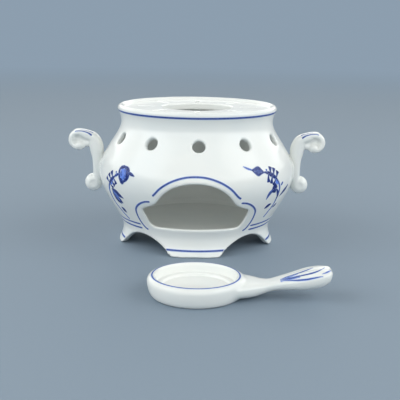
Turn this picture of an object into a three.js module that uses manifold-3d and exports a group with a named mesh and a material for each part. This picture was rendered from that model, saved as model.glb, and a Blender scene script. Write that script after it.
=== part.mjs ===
// A porcelain teapot warmer with its candle pan, in millimetres, +Z up.
// The warmer stands on four feet around a vertical axis. The front, with the opening for the
// candle pan, looks along -Y. The pan stands on the table in front of it, its handle along +X.

import * as THREE from 'three';
import { mergeVertices, toCreasedNormals } from 'three/addons/utils/BufferGeometryUtils.js';
import Module from 'manifold-3d';

const wasm = await Module();
wasm.setup();

// Sizes of the warmer body
const RIM_HEIGHT = 100;            // table to the top of the rolled rim
const RIM_RADIUS = 57.6;           // widest place of the rolled rim
const RIM_WIDTH = 4.6;             // across the rolled rim, seen from above
const NECK_INSET = 2.65;           // from the rim's edge in to the neck
const NECK_BELOW_RIM = 12;
const BELLY_RADIUS = 71.6;
const BELLY_HEIGHT = 55;
const WAIST_RADIUS = 53.6;         // narrowest place, above the feet
const WAIST_HEIGHT = 11.5;
const FOOT_RADIUS = 57.5;          // outer edge of the feet on the table
const WALL = 3.8;
const FOOT_WALL = 5;
const FLOOR_TOP = 15.5;            // table to the floor that the candle pan stands on
const FLOOR_THICKNESS = 2.8;
const FLOOR_FILLET = 4;            // round between the floor and the wall

// Sizes of the cut-outs in the body
const SILL_ABOVE_FLOOR = 4.5;      // floor to the bottom edge of the front opening
const OPENING_HEIGHT = 35.2;       // sill to the top of the middle arch
const PAN_PASSAGE = 6.7;           // room on each side of the pan where the opening is widest
const LOBE_UP = 13.5;              // sill to the widest place of the two side lobes
const SILL_INSET = 10;             // from the widest place in to the straight part of the sill
const ARCH_INSET = 10.5;           // from the widest place in to the foot of the middle arch
const ARCH_UP = 21;                // sill to where the arch meets the side lobes
const ARCH_WIDTH = 51;             // gap between two feet on the table
const ARCH_BELOW_FLOOR = 0.2;      // from the floor's underside down to the top of the gap
const FEET = 4;
const VENTS = 11;
const VENT_DIAMETER = 8.8;
const VENT_BELOW_RIM = 22;
const VENT_TURN = 1.6;             // degrees from the front to the first vent, towards +X

// Sizes of the pierced top plate
const PLATE_THICKNESS = 5.2;
const PLATE_BELOW_RIM = 2.8;
const PLATE_LEDGE = 1.2;           // width of the ledge that carries the plate
const PLATE_RING = 27.2;           // plate's edge in to its middle hole
const PLATE_EDGE_ROUND = 1.2;
const SLOTS = 8;
const SLOT_LENGTH = 12;
const SLOT_WIDTH = 4;
const SLOT_INSET = 9.7;            // plate's edge in to the slots

// Sizes of the two scroll handles, measured from the widest place of the belly
const CURL_OUT = 14;               // belly to the centre of the upper curl
const CURL_UP = 18.2;
const CURL_RADIUS = 5.7;           // centre of the curl to the middle of its bar
const BAR_THICKNESS = 5.4;         // bar of the curl
const BAR_WIDTH = 10.4;            // bar seen from the side
const STEM_OUT = 1.9;              // belly to the middle of the upright stem
const STEM_THICKNESS = 6.9;
const KNOB_RADIUS = 3.5;           // end of the upper curl
const BALL_OUT = 4.2;              // belly to the centre of the lower scroll end
const BALL_DOWN = 13.6;
const BALL_RADIUS = 6.5;
const CURL_WEB = 6.6;              // plate of clay that closes the curl

// Sizes of the candle pan
const CANDLE_DIAMETER = 38.5;      // cup of a tea light
const CANDLE_PLAY = 1.25;          // between the cup and the edge of its seat
const CANDLE_SEAT_STEP = 1.6;
const PAN_SPREAD = 8.8;            // edge of the candle's seat out to the widest place
const PAN_BULGE_HEIGHT = 6.4;      // table to the widest place
const PAN_BASE_INSET = 5;          // widest place in to the edge of the base
const PAN_RIM_HEIGHT = 12.3;
const PAN_RIM_INSET = 3;           // widest place in to the crest of the rim
const PAN_RIM_WIDTH = 2.6;
const PAN_FLOOR = 4;
const PAN_CLEAR = 31;              // belly to the pan as it stands in front
const PAN_ASIDE = 1.2;

// Sizes of the pan handle, along its length from the pan's side to the tip
const GRIP_LENGTH = 51.5;
const GRIP_TURN = -2.5;            // degrees about the pan's axis
const GRIP_NECK_WIDTH = 14;
const GRIP_SHELL_WIDTH = 24;
const GRIP_TIP_HEIGHT = 18.6;

const GAP = 0.3;                   // between pieces that are luted together
const ROUND = 60;                  // facets around the body

// Curve and solid helpers
const at = (r, z) => new THREE.Vector2(r, z);
const rad = THREE.MathUtils.degToRad;

// Points of a curve that leaves `from` towards `a` and reaches `to` coming from `b`.
function sweep(from, a, b, to, steps) {
  return new THREE.CubicBezierCurve(from, a, b, to).getPoints(steps);
}

function arc(centre, radiusX, radiusY, start, end, steps) {
  const points = [];
  for (let i = 0; i <= steps; i++) {
    const angle = rad(start + (end - start) * i / steps);
    points.push(at(centre.x + radiusX * Math.cos(angle), centre.y + radiusY * Math.sin(angle)));
  }
  return points;
}

// The same curve moved sideways by `distance`, to the left of its direction.
function offset(points, distance) {
  return points.map((point, i) => {
    const ahead = points[Math.min(i + 1, points.length - 1)];
    const behind = points[Math.max(i - 1, 0)];
    const along = ahead.clone().sub(behind).normalize();
    return at(point.x - along.y * distance, point.y + along.x * distance);
  });
}

function radiusAt(points, z) {
  for (let i = 1; i < points.length; i++) {
    const [low, high] = [points[i - 1], points[i]];
    if (z >= low.y && z <= high.y) {
      return low.x + (high.x - low.x) * (z - low.y) / (high.y - low.y);
    }
  }
  return z < points[0].y ? points[0].x : points.at(-1).x;
}

function solid(geometry) {
  const bare = new THREE.BufferGeometry();
  bare.setAttribute('position', geometry.getAttribute('position'));
  bare.setIndex(geometry.index);
  const merged = mergeVertices(bare, 1e-4);
  const corners = merged.index.array;
  const faces = [];
  for (let i = 0; i < corners.length; i += 3) {
    const [a, b, c] = corners.slice(i, i + 3);
    if (a !== b && b !== c && c !== a) faces.push(a, b, c);
  }
  return new wasm.Manifold(new wasm.Mesh({
    numProp: 3,
    vertProperties: new Float32Array(merged.getAttribute('position').array),
    triVerts: new Uint32Array(faces),
  }));
}

// A solid of revolution about Z; the outline may run either way round.
function turned(outline, facets = ROUND) {
  const area = THREE.ShapeUtils.area(outline);
  const points = area > 0 ? [...outline] : [...outline].reverse();
  points.push(points[0].clone());
  return solid(new THREE.LatheGeometry(points, facets).rotateX(Math.PI / 2));
}

// A solid with a flat outline drawn in x and z, reaching from y = 0 to y = -depth.
function sawn(shape, depth, curveSegments = 10) {
  const options = { depth, bevelEnabled: false, curveSegments };
  return solid(new THREE.ExtrudeGeometry(shape, options).rotateX(Math.PI / 2));
}

// A solid through a row of rings that all have as many points.
function lofted(rings) {
  const sides = rings[0].length;
  const points = rings.flat();
  const first = points.length;
  const centreOf = (ring) => ring
    .reduce((sum, p) => sum.add(p), new THREE.Vector3())
    .divideScalar(sides);
  points.push(centreOf(rings[0]), centreOf(rings.at(-1)));
  const index = [];
  const top = (rings.length - 1) * sides;
  for (let k = 0; k < sides; k++) {
    const next = (k + 1) % sides;
    for (let i = 0; i < rings.length - 1; i++) {
      const [a, b] = [i * sides + k, i * sides + next];
      index.push(a, b, b + sides, a, b + sides, a + sides);
    }
    index.push(first, next, k, first + 1, top + k, top + next);
  }
  const geometry = new THREE.BufferGeometry().setFromPoints(points);
  geometry.setIndex(index);
  return solid(geometry);
}

function ball(x, z, radius, halfWidth = radius, segments = 12) {
  const sphere = new THREE.SphereGeometry(radius, segments, segments / 2 + 1);
  return solid(sphere.scale(1, halfWidth / radius, 1).translate(x, 0, z));
}

// Places where one piece fits to another
const plateRadius = RIM_RADIUS - RIM_WIDTH - GAP;
const seatHeight = RIM_HEIGHT - PLATE_BELOW_RIM - PLATE_THICKNESS - GAP;
const candleSeatRadius = CANDLE_DIAMETER / 2 + CANDLE_PLAY;
const panRadius = candleSeatRadius + PAN_SPREAD;
const panRimRadius = panRadius - PAN_RIM_INSET;

// Outer wall, from the table to the rolled rim
const neckRadius = RIM_RADIUS - NECK_INSET;
const neckHeight = RIM_HEIGHT - NECK_BELOW_RIM;
const rimHalf = RIM_WIDTH / 2;
const rimMiddle = at(RIM_RADIUS - rimHalf, RIM_HEIGHT - 2.6);

const footCurve = sweep(
  at(FOOT_RADIUS, 0), at(FOOT_RADIUS - 2.2, 3),
  at(WAIST_RADIUS, WAIST_HEIGHT - 5), at(WAIST_RADIUS, WAIST_HEIGHT), 4);
const lowerBelly = sweep(
  at(WAIST_RADIUS, WAIST_HEIGHT), at(WAIST_RADIUS, WAIST_HEIGHT + 8.8),
  at(BELLY_RADIUS, BELLY_HEIGHT - 17.8), at(BELLY_RADIUS, BELLY_HEIGHT), 8);
const upperBelly = sweep(
  at(BELLY_RADIUS, BELLY_HEIGHT), at(BELLY_RADIUS, BELLY_HEIGHT + 7.7),
  at(neckRadius, neckHeight - 8.3), at(neckRadius, neckHeight), 7);
const throat = sweep(
  at(neckRadius, neckHeight), at(neckRadius, neckHeight + 4.5),
  at(RIM_RADIUS - 0.9, rimMiddle.y - 2.6), at(RIM_RADIUS, rimMiddle.y), 4);
const bellyCurve = [...lowerBelly, ...upperBelly.slice(1)];
const outerCurve = [...footCurve, ...bellyCurve.slice(1), ...throat.slice(1)];
const rimRoll = arc(rimMiddle, rimHalf, RIM_HEIGHT - rimMiddle.y, 0, 180, 6);

// The outer shape as one solid, grown by `extra` where a neighbour has to keep clear of it.
function outerShape(extra = 0) {
  const wall = offset([...outerCurve, ...rimRoll.slice(1, 4)], -extra);
  return turned([at(0, -extra), at(wall[0].x, -extra), ...wall, at(0, wall.at(-1).y)]);
}

function frontOpening() {
  const lobe = panRadius + PAN_PASSAGE;
  const sill = lobe - SILL_INSET;
  const foot = lobe - ARCH_INSET;
  const low = FLOOR_TOP + SILL_ABOVE_FLOOR;
  const [mid, cusp, top] = [low + LOBE_UP, low + ARCH_UP, low + OPENING_HEIGHT];
  const half = new THREE.Path();
  half.moveTo(0, low);
  half.lineTo(sill, low);
  half.quadraticCurveTo(sill + 5, low + 0.3, lobe - 3.3, low + 5.6);
  half.lineTo(lobe - 0.6, mid - 2.2);
  half.quadraticCurveTo(lobe + 0.3, mid + 0.6, lobe - 1.8, mid + 1.1);
  half.bezierCurveTo(foot + 5.3, mid + 2.9, foot + 2, cusp - 3.4, foot, cusp);
  half.bezierCurveTo(foot - 3.5, cusp + 6.5, foot * 0.56, top, 0, top);
  const right = half.getPoints(6);
  const left = right.slice(1, -1).reverse().map((p) => at(-p.x, p.y));
  return sawn(new THREE.Shape([...right, ...left]), BELLY_RADIUS + 5);
}

function footArch(turn) {
  const apex = FLOOR_TOP - FLOOR_THICKNESS - ARCH_BELOW_FLOOR;
  const below = 2;
  const half = ARCH_WIDTH / 2 * Math.sqrt((apex + below) / apex);
  const shape = new THREE.Shape();
  shape.moveTo(half, -below);
  shape.quadraticCurveTo(0, 2 * apex + below, -half, -below);
  return sawn(shape, FOOT_RADIUS + 5, 12).rotate([0, 0, turn]);
}

// A vent is drilled square to the shoulder of the belly.
function vent(turn) {
  const height = RIM_HEIGHT - VENT_BELOW_RIM;
  const radius = radiusAt(outerCurve, height);
  const slope = (radiusAt(outerCurve, height - 2) - radiusAt(outerCurve, height + 2)) / 4;
  const drill = new THREE.CylinderGeometry(VENT_DIAMETER / 2, VENT_DIAMETER / 2, 6 * WALL, 14);
  drill.rotateX(-Math.atan(slope)).translate(0, -radius, height);
  return solid(drill).rotate([0, 0, turn]);
}

function bodyCavity() {
  const sparse = outerCurve.filter((point) => point.y > WAIST_HEIGHT - 1);
  const inner = offset(sparse, WALL);
  const wallFoot = FLOOR_TOP + FLOOR_FILLET;
  const wall = inner.filter((point) => point.y > wallFoot + 1 && point.y < seatHeight - 1);
  const corner = at(radiusAt(inner, wallFoot) - FLOOR_FILLET, wallFoot);
  const fillet = arc(corner, FLOOR_FILLET, FLOOR_FILLET, -90, 0, 3);
  const above = seatHeight + 1;
  const mouth = plateRadius - PLATE_LEDGE;
  return turned([at(0, FLOOR_TOP), ...fillet, ...wall, at(mouth, above), at(0, above)]);
}

function underHollow() {
  const underside = FLOOR_TOP - FLOOR_THICKNESS;
  const inner = offset(footCurve, FOOT_WALL).filter((point) => point.y < underside - 2.5);
  const inside = WAIST_RADIUS - FOOT_WALL;
  return turned([
    at(0, -2), at(FOOT_RADIUS - FOOT_WALL, -2), ...inner, at(inside, underside - 2),
    at(inside - 2, underside), at(0, underside)]);
}

function warmerBody() {
  let body = turned([
    at(0, 0), ...outerCurve, ...rimRoll.slice(1),
    at(plateRadius + GAP, seatHeight), at(0, seatHeight)]);
  body = body.subtract(bodyCavity()).subtract(underHollow()).subtract(frontOpening());
  for (let i = 0; i < FEET; i++) body = body.subtract(footArch((i + 0.5) * 360 / FEET));
  for (let i = 0; i < VENTS; i++) body = body.subtract(vent(VENT_TURN + i * 360 / VENTS));
  return body;
}

function slot(turn) {
  const end = SLOT_WIDTH / 2;
  const outer = plateRadius - SLOT_INSET;
  const shape = new THREE.Shape();
  shape.absarc(outer - SLOT_LENGTH + end, 0, end, Math.PI / 2, Math.PI * 3 / 2);
  shape.absarc(outer - end, 0, end, -Math.PI / 2, Math.PI / 2);
  const depth = PLATE_THICKNESS * 3;
  const geometry = new THREE.ExtrudeGeometry(shape, { depth, bevelEnabled: false, curveSegments: 6 });
  return solid(geometry.translate(0, 0, RIM_HEIGHT - depth)).rotate([0, 0, turn]);
}

function topPlate() {
  const top = RIM_HEIGHT - PLATE_BELOW_RIM;
  const bottom = top - PLATE_THICKNESS;
  const [inner, outer, edge] = [plateRadius - PLATE_RING, plateRadius, PLATE_EDGE_ROUND];
  const corner = (r, z, start) => arc(at(r, z), edge, edge, start, start + 90, 1);
  let plate = turned([
    ...corner(inner + edge, bottom + edge, 180), ...corner(outer - edge, bottom + edge, 270),
    ...corner(outer - edge, top - edge, 0), ...corner(inner + edge, top - edge, 90)]);
  for (let i = 0; i < SLOTS; i++) plate = plate.subtract(slot(i * 360 / SLOTS));
  return plate;
}

// The bar of a scroll handle: each entry is the middle of the bar in x and z, then its
// half thickness across the curve and its half width along y.
function scrollBar() {
  const x = (out) => BELLY_RADIUS + out;
  const z = (up) => BELLY_HEIGHT + up;
  const [half, wide] = [BAR_THICKNESS / 2, BAR_WIDTH / 2];
  const stem = STEM_THICKNESS / 2;
  const knots = [
    [x(BALL_OUT), z(-BALL_DOWN), BALL_RADIUS - 1, wide],
    [x(STEM_OUT + 0.6), z(-BALL_DOWN + 4.5), stem + 1.2, wide],
    [x(STEM_OUT), z(-4), stem, wide],
    [x(STEM_OUT), z(4), stem + 0.1, wide],
    [x(STEM_OUT + 0.4), z(11), stem + 1.3, wide],
    [x(STEM_OUT + 1.6), z(16), stem + 1.4, wide],
    [x(STEM_OUT + 3.6), z(20), stem + 0.6, wide],
  ];
  for (let angle = 135; angle >= -60; angle -= 27.9) {
    const [across, up] = [Math.cos(rad(angle)), Math.sin(rad(angle))];
    const spread = CURL_RADIUS + (angle > 120 ? 1.2 : 0);
    const thick = half + (angle > 120 ? 0.5 : 0);
    knots.push([x(CURL_OUT + spread * across), z(CURL_UP + spread * up), thick, wide]);
  }
  knots.push([x(CURL_OUT - 0.2), z(CURL_UP - 4.7), KNOB_RADIUS - 0.4, wide - 0.6]);
  const path = new THREE.CatmullRomCurve3(knots.map(([a, b]) => new THREE.Vector3(a, 0, b)));
  const girth = new THREE.CatmullRomCurve3(knots.map(([, , a, b]) => new THREE.Vector3(a, b, 0)));
  const [steps, sides] = [26, 10];
  const rings = [];
  for (let i = 0; i <= steps; i++) {
    const middle = path.getPoint(i / steps);
    const along = path.getTangent(i / steps);
    const size = girth.getPoint(i / steps);
    const across = new THREE.Vector3(along.z, 0, -along.x);
    const ring = [];
    for (let k = 0; k < sides; k++) {
      const angle = 2 * Math.PI * k / sides;
      ring.push(middle.clone()
        .addScaledVector(across, size.x * Math.cos(angle))
        .add(new THREE.Vector3(0, size.y * Math.sin(angle), 0)));
    }
    rings.push(ring);
  }
  return lofted(rings);
}

function scrollHandle() {
  const curlX = BELLY_RADIUS + CURL_OUT;
  const curlZ = BELLY_HEIGHT + CURL_UP;
  const web = new THREE.CylinderGeometry(CURL_RADIUS, CURL_RADIUS, CURL_WEB, 20);
  return scrollBar()
    .add(solid(web.translate(curlX, 0, curlZ)))
    .add(ball(curlX - 0.5, curlZ - 4.6, KNOB_RADIUS, BAR_WIDTH / 2))
    .add(ball(BELLY_RADIUS + BALL_OUT, BELLY_HEIGHT - BALL_DOWN, BALL_RADIUS, BAR_WIDTH / 2 + 0.8))
    .subtract(outerShape(GAP));
}

// Outline of the pan's outside, from the table to the crest of its rim
const panSide = [
  ...sweep(at(panRadius - PAN_BASE_INSET, 0), at(panRadius - 1.6, 1.6),
    at(panRadius, PAN_BULGE_HEIGHT - 2), at(panRadius, PAN_BULGE_HEIGHT), 4),
  ...sweep(at(panRadius, PAN_BULGE_HEIGHT), at(panRadius, PAN_BULGE_HEIGHT + 3),
    at(panRimRadius + PAN_RIM_WIDTH / 2, PAN_RIM_HEIGHT - 1.6),
    at(panRimRadius, PAN_RIM_HEIGHT), 4).slice(1),
];

function candlePan() {
  const step = PAN_FLOOR + CANDLE_SEAT_STEP;
  const inside = panRimRadius - PAN_RIM_WIDTH / 2;
  return turned([
    at(0, 0), ...panSide,
    ...sweep(at(panRimRadius, PAN_RIM_HEIGHT), at(inside, PAN_RIM_HEIGHT),
      at(inside, step + 3), at(candleSeatRadius + 2, step), 5).slice(1),
    at(candleSeatRadius + 0.6, step - 0.2), at(candleSeatRadius, PAN_FLOOR), at(0, PAN_FLOOR)], 48);
}

// The pan handle: each entry is a share of its length, then half width, underside and top.
function panHandle() {
  const neck = GRIP_NECK_WIDTH / 2;
  const shell = GRIP_SHELL_WIDTH / 2;
  const tip = GRIP_TIP_HEIGHT;
  const stations = [
    [-0.16, neck + 3.5, 0.9, 11.4],
    [0, neck + 2.4, 0.7, 11.3],
    [0.11, neck + 1, 0.6, 10.3],
    [0.18, neck + 0.4, 1.8, 9.7],
    [0.27, neck, 3.6, tip - 8.6],
    [0.39, neck + 0.8, 5, tip - 6.9],
    [0.54, shell - 2, 5.6, tip - 4.5],
    [0.69, shell - 0.1, 6, tip - 2.1],
    [0.84, shell - 0.2, 7.4, tip - 0.3],
    [0.94, shell - 2.6, 9.8, tip],
    [0.99, shell - 6.8, 12.4, tip - 0.9],
    [1, shell - 9.6, 14, tip - 2.2],
  ];
  const sides = 16;
  const rings = stations.map(([share, half, low, high]) => {
    const ring = [];
    for (let k = 0; k < sides; k++) {
      const angle = 2 * Math.PI * k / sides;
      const y = half * Math.cos(angle);
      const z = (low + high) / 2 + (high - low) / 2 * Math.sin(angle);
      ring.push(new THREE.Vector3(panRadius + share * GRIP_LENGTH, y, z));
    }
    return ring;
  });
  const wall = offset(panSide, -GAP);
  const panSpace = turned([
    at(0, -1), at(wall[0].x, -1), ...wall, at(wall.at(-1).x, PAN_RIM_HEIGHT + 5),
    at(0, PAN_RIM_HEIGHT + 5)], 48);
  return lofted(rings).rotate([0, 0, GRIP_TURN]).subtract(panSpace);
}

// Named meshes of the part
const porcelain = { color: 0xf1f4f2, roughness: 0.12, metalness: 0 };

function piece(name, manifold) {
  const mesh = manifold.getMesh();
  const geometry = new THREE.BufferGeometry();
  geometry.setAttribute('position', new THREE.BufferAttribute(mesh.vertProperties, 3));
  geometry.setIndex(new THREE.BufferAttribute(mesh.triVerts, 1));
  const made = new THREE.Mesh(toCreasedNormals(geometry, rad(30)), new THREE.MeshStandardMaterial(porcelain));
  made.name = name;
  return made;
}

const handle = scrollHandle();
const warmer = new THREE.Group();
warmer.add(
  piece('warmer_body', warmerBody()), piece('top_plate', topPlate()), piece('handle_right', handle),
  piece('handle_left', handle.rotate([0, 0, 180])));

const pan = new THREE.Group();
const panDistance = BELLY_RADIUS + PAN_CLEAR + panRadius;
pan.add(piece('candle_pan', candlePan()), piece('pan_handle', panHandle()));
pan.position.set(PAN_ASIDE, -panDistance, 0);

// The origin lies on the table, midway between the pan's front and the warmer's back.
const part = new THREE.Group();
part.add(warmer, pan);
part.position.y = (panDistance + panRadius - BELLY_RADIUS) / 2;

export default part;
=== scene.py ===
"""Glazed porcelain teapot warmer with a loose candle pan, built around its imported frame.

Apart from the turned pan, each porcelain piece is one surface taken from a distance field, because
glaze rounds every edge and fills every joint, which cut and joined meshes would leave sharp. The
fields work in millimetres around the piece's own axis. The pan, the backdrop and everything painted
are made by Geometry Nodes.
"""

import math
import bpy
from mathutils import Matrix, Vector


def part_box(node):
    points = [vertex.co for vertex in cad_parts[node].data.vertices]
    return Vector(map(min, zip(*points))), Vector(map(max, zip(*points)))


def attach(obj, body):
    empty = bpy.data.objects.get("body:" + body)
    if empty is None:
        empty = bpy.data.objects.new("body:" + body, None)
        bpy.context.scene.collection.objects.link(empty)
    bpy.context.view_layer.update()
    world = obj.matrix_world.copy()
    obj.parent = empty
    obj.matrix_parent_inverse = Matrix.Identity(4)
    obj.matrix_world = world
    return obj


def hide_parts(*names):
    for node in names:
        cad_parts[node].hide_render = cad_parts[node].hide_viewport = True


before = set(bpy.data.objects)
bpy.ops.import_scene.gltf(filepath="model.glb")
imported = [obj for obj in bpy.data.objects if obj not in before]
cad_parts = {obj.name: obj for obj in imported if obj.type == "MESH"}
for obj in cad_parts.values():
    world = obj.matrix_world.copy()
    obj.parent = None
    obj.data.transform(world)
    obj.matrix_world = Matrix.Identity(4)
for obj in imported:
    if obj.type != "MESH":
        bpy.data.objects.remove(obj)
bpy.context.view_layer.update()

from types import SimpleNamespace

import bpy
import numpy as np
from mathutils import Euler, Matrix, Vector

bl_info = {
    "name": "Porcelain teapot warmer",
    "version": (1, 0, 0),
    "blender": (4, 5, 0),
    "location": "3D View > Sidebar > Warmer",
    "description": "Builds the glazed and painted surfaces of a teapot warmer and its candle pan",
    "category": "Add Mesh",
}

MM = 0.001


# Sizes that come from the frame, in millimetres
def corners(node):
    """Lowest and highest corner of a node of the frame."""
    low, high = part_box(node)
    return np.array(low) / MM, np.array(high) / MM


BODY_LOW, BODY_HIGH = corners("warmer_body")
PLATE_LOW, PLATE_HIGH = corners("top_plate")
SCROLL_LOW, SCROLL_HIGH = corners("handle_right")
PAN_LOW, PAN_HIGH = corners("candle_pan")

INSET = 0.03  # the glazed surface stays this far inside the frame's solids
WARMER_AXIS = np.array([*(BODY_LOW + BODY_HIGH)[:2] / 2, 0])
PAN_AXIS = np.array([*(PAN_LOW + PAN_HIGH)[:2] / 2, 0])
BELLY_RADIUS = (BODY_HIGH - BODY_LOW)[0] / 2 - INSET
RIM_HEIGHT = BODY_HIGH[2]
PLATE_RADIUS = (PLATE_HIGH - PLATE_LOW)[0] / 2
PLATE_BOTTOM, PLATE_TOP = PLATE_LOW[2], PLATE_HIGH[2]
PAN_RADIUS = (PAN_HIGH - PAN_LOW)[0] / 2 - INSET
PAN_HEIGHT = PAN_HIGH[2]
SEAM = 0.3  # gap in the frame between two pieces that are luted together


# Properties
def plain(name, description, value, **kind):
    """A number; `kind` gives its unit, subtype or limits."""
    return bpy.props.FloatProperty(name=name, description=description, default=value, **kind)


def length(name, description, millimetres):
    """A size in metres, given here in millimetres."""
    return plain(name, description, millimetres * MM, min=0, unit="LENGTH", precision=4)


def angle_of(name, description, degrees):
    """An angle, given here in degrees."""
    return plain(name, description, math.radians(degrees), subtype="ANGLE")


def number_of(name, description, value, least):
    """A whole number of things."""
    return bpy.props.IntProperty(name=name, description=description, default=value, min=least)


def colour(name, description, value):
    """A colour in linear light."""
    return bpy.props.FloatVectorProperty(
        name=name, description=description, default=value, size=3, min=0, max=1, subtype="COLOR")


class WARMER_PG_body(bpy.types.PropertyGroup):
    """Sizes of the body"""
    rim_radius: length("Rim radius", "Widest place of the rolled rim", 57.6)
    rim_width: length("Rim width", "Across the rolled rim, seen from above", 4.6)
    rim_depth: length("Rim depth", "Top of the rim down to its widest place", 2.6)
    neck_inset: length("Neck inset", "From the rim's edge in to the neck", 2.65)
    neck_depth: length("Neck depth", "Top of the rim down to the neck", 12)
    belly_height: length("Belly height", "Table to the widest place of the belly", 52)
    belly_inset: length("Belly inset", "How far the fired belly stays inside the frame's", 0.5)
    waist_radius: length("Waist radius", "Narrowest place, above the feet", 53.6)
    waist_height: length("Waist height", "Table to the narrowest place", 11.5)
    foot_radius: length("Foot radius", "Outer edge of the feet on the table", 57.5)
    wall: length("Wall", "Thickness of the wall", 3.8)
    foot_wall: length("Foot wall", "Thickness of the feet", 5)
    floor_top: length("Floor", "Table to the floor that the pan stands on", 15.5)
    floor_thickness: length("Floor thickness", "Thickness of the floor", 2.8)
    floor_fillet: length("Floor fillet", "Round between the floor and the wall", 4)
    plate_ledge: length("Plate ledge", "Width of the ledge that carries the top plate", 1.2)
    sill_up: length("Sill", "Floor up to the bottom edge of the front opening", 4.5)
    opening_height: length("Opening height", "Sill up to the top of the middle arch", 34.3)
    lobe_half: length("Opening half width", "Middle to the widest place of the side lobes", 36)
    arch_width: length("Foot gap", "Gap between two feet on the table", 51)
    vent_radius: length("Vent radius", "Radius of a vent in the shoulder", 4.4)
    vent_depth: length("Vent depth", "Top of the rim down to the vents", 22)
    vents: number_of("Vents", "Vents round the shoulder", 11, 3)
    vent_turn: angle_of("Vent turn", "Front to the first vent, towards +X", 1.6)
    foot_round: length("Foot round", "Round of the feet's edges on the table", 1.6)
    lip: length("Glazed lip", "How far the glaze rounds the edge of the front opening", 2)
    fineness: length("Fineness", "Step of the body's mesh", 1.15)


class WARMER_PG_plate(bpy.types.PropertyGroup):
    """Sizes of the top plate"""
    ring: length("Ring width", "Plate's edge in to its middle hole", 27.2)
    rise: length("Rise", "How far the fired plate stands above its seat", 1)
    thinned: length("Thinned", "How much thinner the plate is at its hole", 0.9)
    edge: length("Edge round", "Round of the plate's edges", 1.2)
    slots: number_of("Slots", "Slots round the hole", 8, 2)
    slot_length: length("Slot length", "Length of a slot", 12)
    slot_width: length("Slot width", "Width of a slot", 3)
    slot_inset: length("Slot inset", "Plate's edge in to the slots", 9.7)
    fillet: length("Luting fillet", "Slip that joins the plate to the body", 1.8)
    fineness: length("Fineness", "Step of the plate's mesh", 0.75)


class WARMER_PG_handle(bpy.types.PropertyGroup):
    """Sizes of the scroll handles"""
    curl_radius: length("Curl radius", "Centre of the curl to the middle of its bar", 5.7)
    bar_thickness: length("Bar thickness", "Bar of the curl", 5.4)
    bar_width: length("Bar width", "Bar seen from the side", 10.4)
    stem_thickness: length("Stem thickness", "Upright stem", 6.3)
    stem_out: length("Stem out", "Belly to the middle of the stem", 1.5)
    ball_radius: length("Ball radius", "Lower scroll end", 6.5)
    ball_out: length("Ball out", "Belly to the centre of the lower scroll end", 4.2)
    knob_radius: length("Knob radius", "End of the upper curl", 3.4)
    web: length("Curl web", "Plate of clay that closes the curl", 3.8)
    fillet: length("Luting fillet", "Slip that joins the handle to the body", 1.7)
    fineness: length("Fineness", "Step of the handles' mesh", 0.48)


class WARMER_PG_pan(bpy.types.PropertyGroup):
    """Sizes of the candle pan and its handle"""
    bulge_height: length("Bulge height", "Table to the widest place", 8.8)
    base_inset: length("Base inset", "Widest place in to the edge of the base", 3.9)
    rim_inset: length("Rim inset", "Widest place in to the crest of the rim", 3.8)
    rim_width: length("Rim width", "Thickness of the rim", 2.6)
    floor: length("Floor", "Table to the floor inside", 5)
    seat_radius: length("Seat radius", "Round seat of the tea light", 20.5)
    seat_step: length("Seat step", "Depth of the tea light's seat", 1.8)
    line_out: length("Rim line", "Crest of the rim out to its painted line", 0.8)
    line_width: length("Rim line width", "Width of the line painted on the rim", 0.8)
    facets: number_of("Facets", "Facets round the pan", 160, 24)
    grip_length: length("Handle length", "Pan's side to the handle's tip", 51.5)
    grip_turn: angle_of("Handle turn", "Turn of the handle about the pan's axis", -2.5)
    grip_neck: length("Handle neck", "Half width of the handle's narrow place", 7)
    grip_shell: length("Handle end", "Half width of the handle's broad end", 12)
    grip_height: length("Handle height", "Table to the top of the handle's end", 18.6)
    grip_level: plain("Widest level", "Where the handle is widest, as a share of its thickness", 0.7,
                      min=0, max=1, subtype="FACTOR")
    flute_depth: length("Flute depth", "Depth of the flutes in the handle's broad end", 0.3)
    fillet: length("Luting fillet", "Slip that joins the handle to the pan", 2)
    fineness: length("Fineness", "Step of the handle's mesh", 0.5)


class WARMER_PG_paint(bpy.types.PropertyGroup):
    """Lines and colours of the painting"""
    line_width: length("Line width", "Width of the painted lines", 1.15)
    rim_line: length("Rim line", "Table to the line below the rim", 96.2)
    upper_line: length("Upper line", "Table to the upper line above the feet", 20.3)
    lower_line: length("Lower line", "Table to the lower line above the feet", 17.2)
    feet_line: length("Feet line", "Table to the line across each foot", 4.6)
    bleed: length("Bleed", "How far the blue bleeds into the glaze beside a stroke", 0.55)
    lift: length("Lift", "How far the colour stands on the clay at its thickest", 0.05)
    sink: length("Sink", "How far the colour reaches into the glaze", 0.15)
    cobalt: colour("Cobalt", "Colour of a full brush", (0.006, 0.016, 0.13))
    wash: colour("Wash", "Colour of a thin wash", (0.13, 0.25, 0.76))
    faint: colour("Bleeding blue", "Colour beside a stroke", (0.5, 0.6, 0.84))


class WARMER_PG_glaze(bpy.types.PropertyGroup):
    """Colours of the glazed clay"""
    white: colour("White", "Colour of the glazed clay", (0.82, 0.835, 0.805))
    pooled: colour("Pooled glaze", "Tint where the glaze lies thicker", (0.77, 0.805, 0.79))
    bare: colour("Bare clay", "Unglazed rim under the feet", (0.72, 0.69, 0.64))


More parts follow.
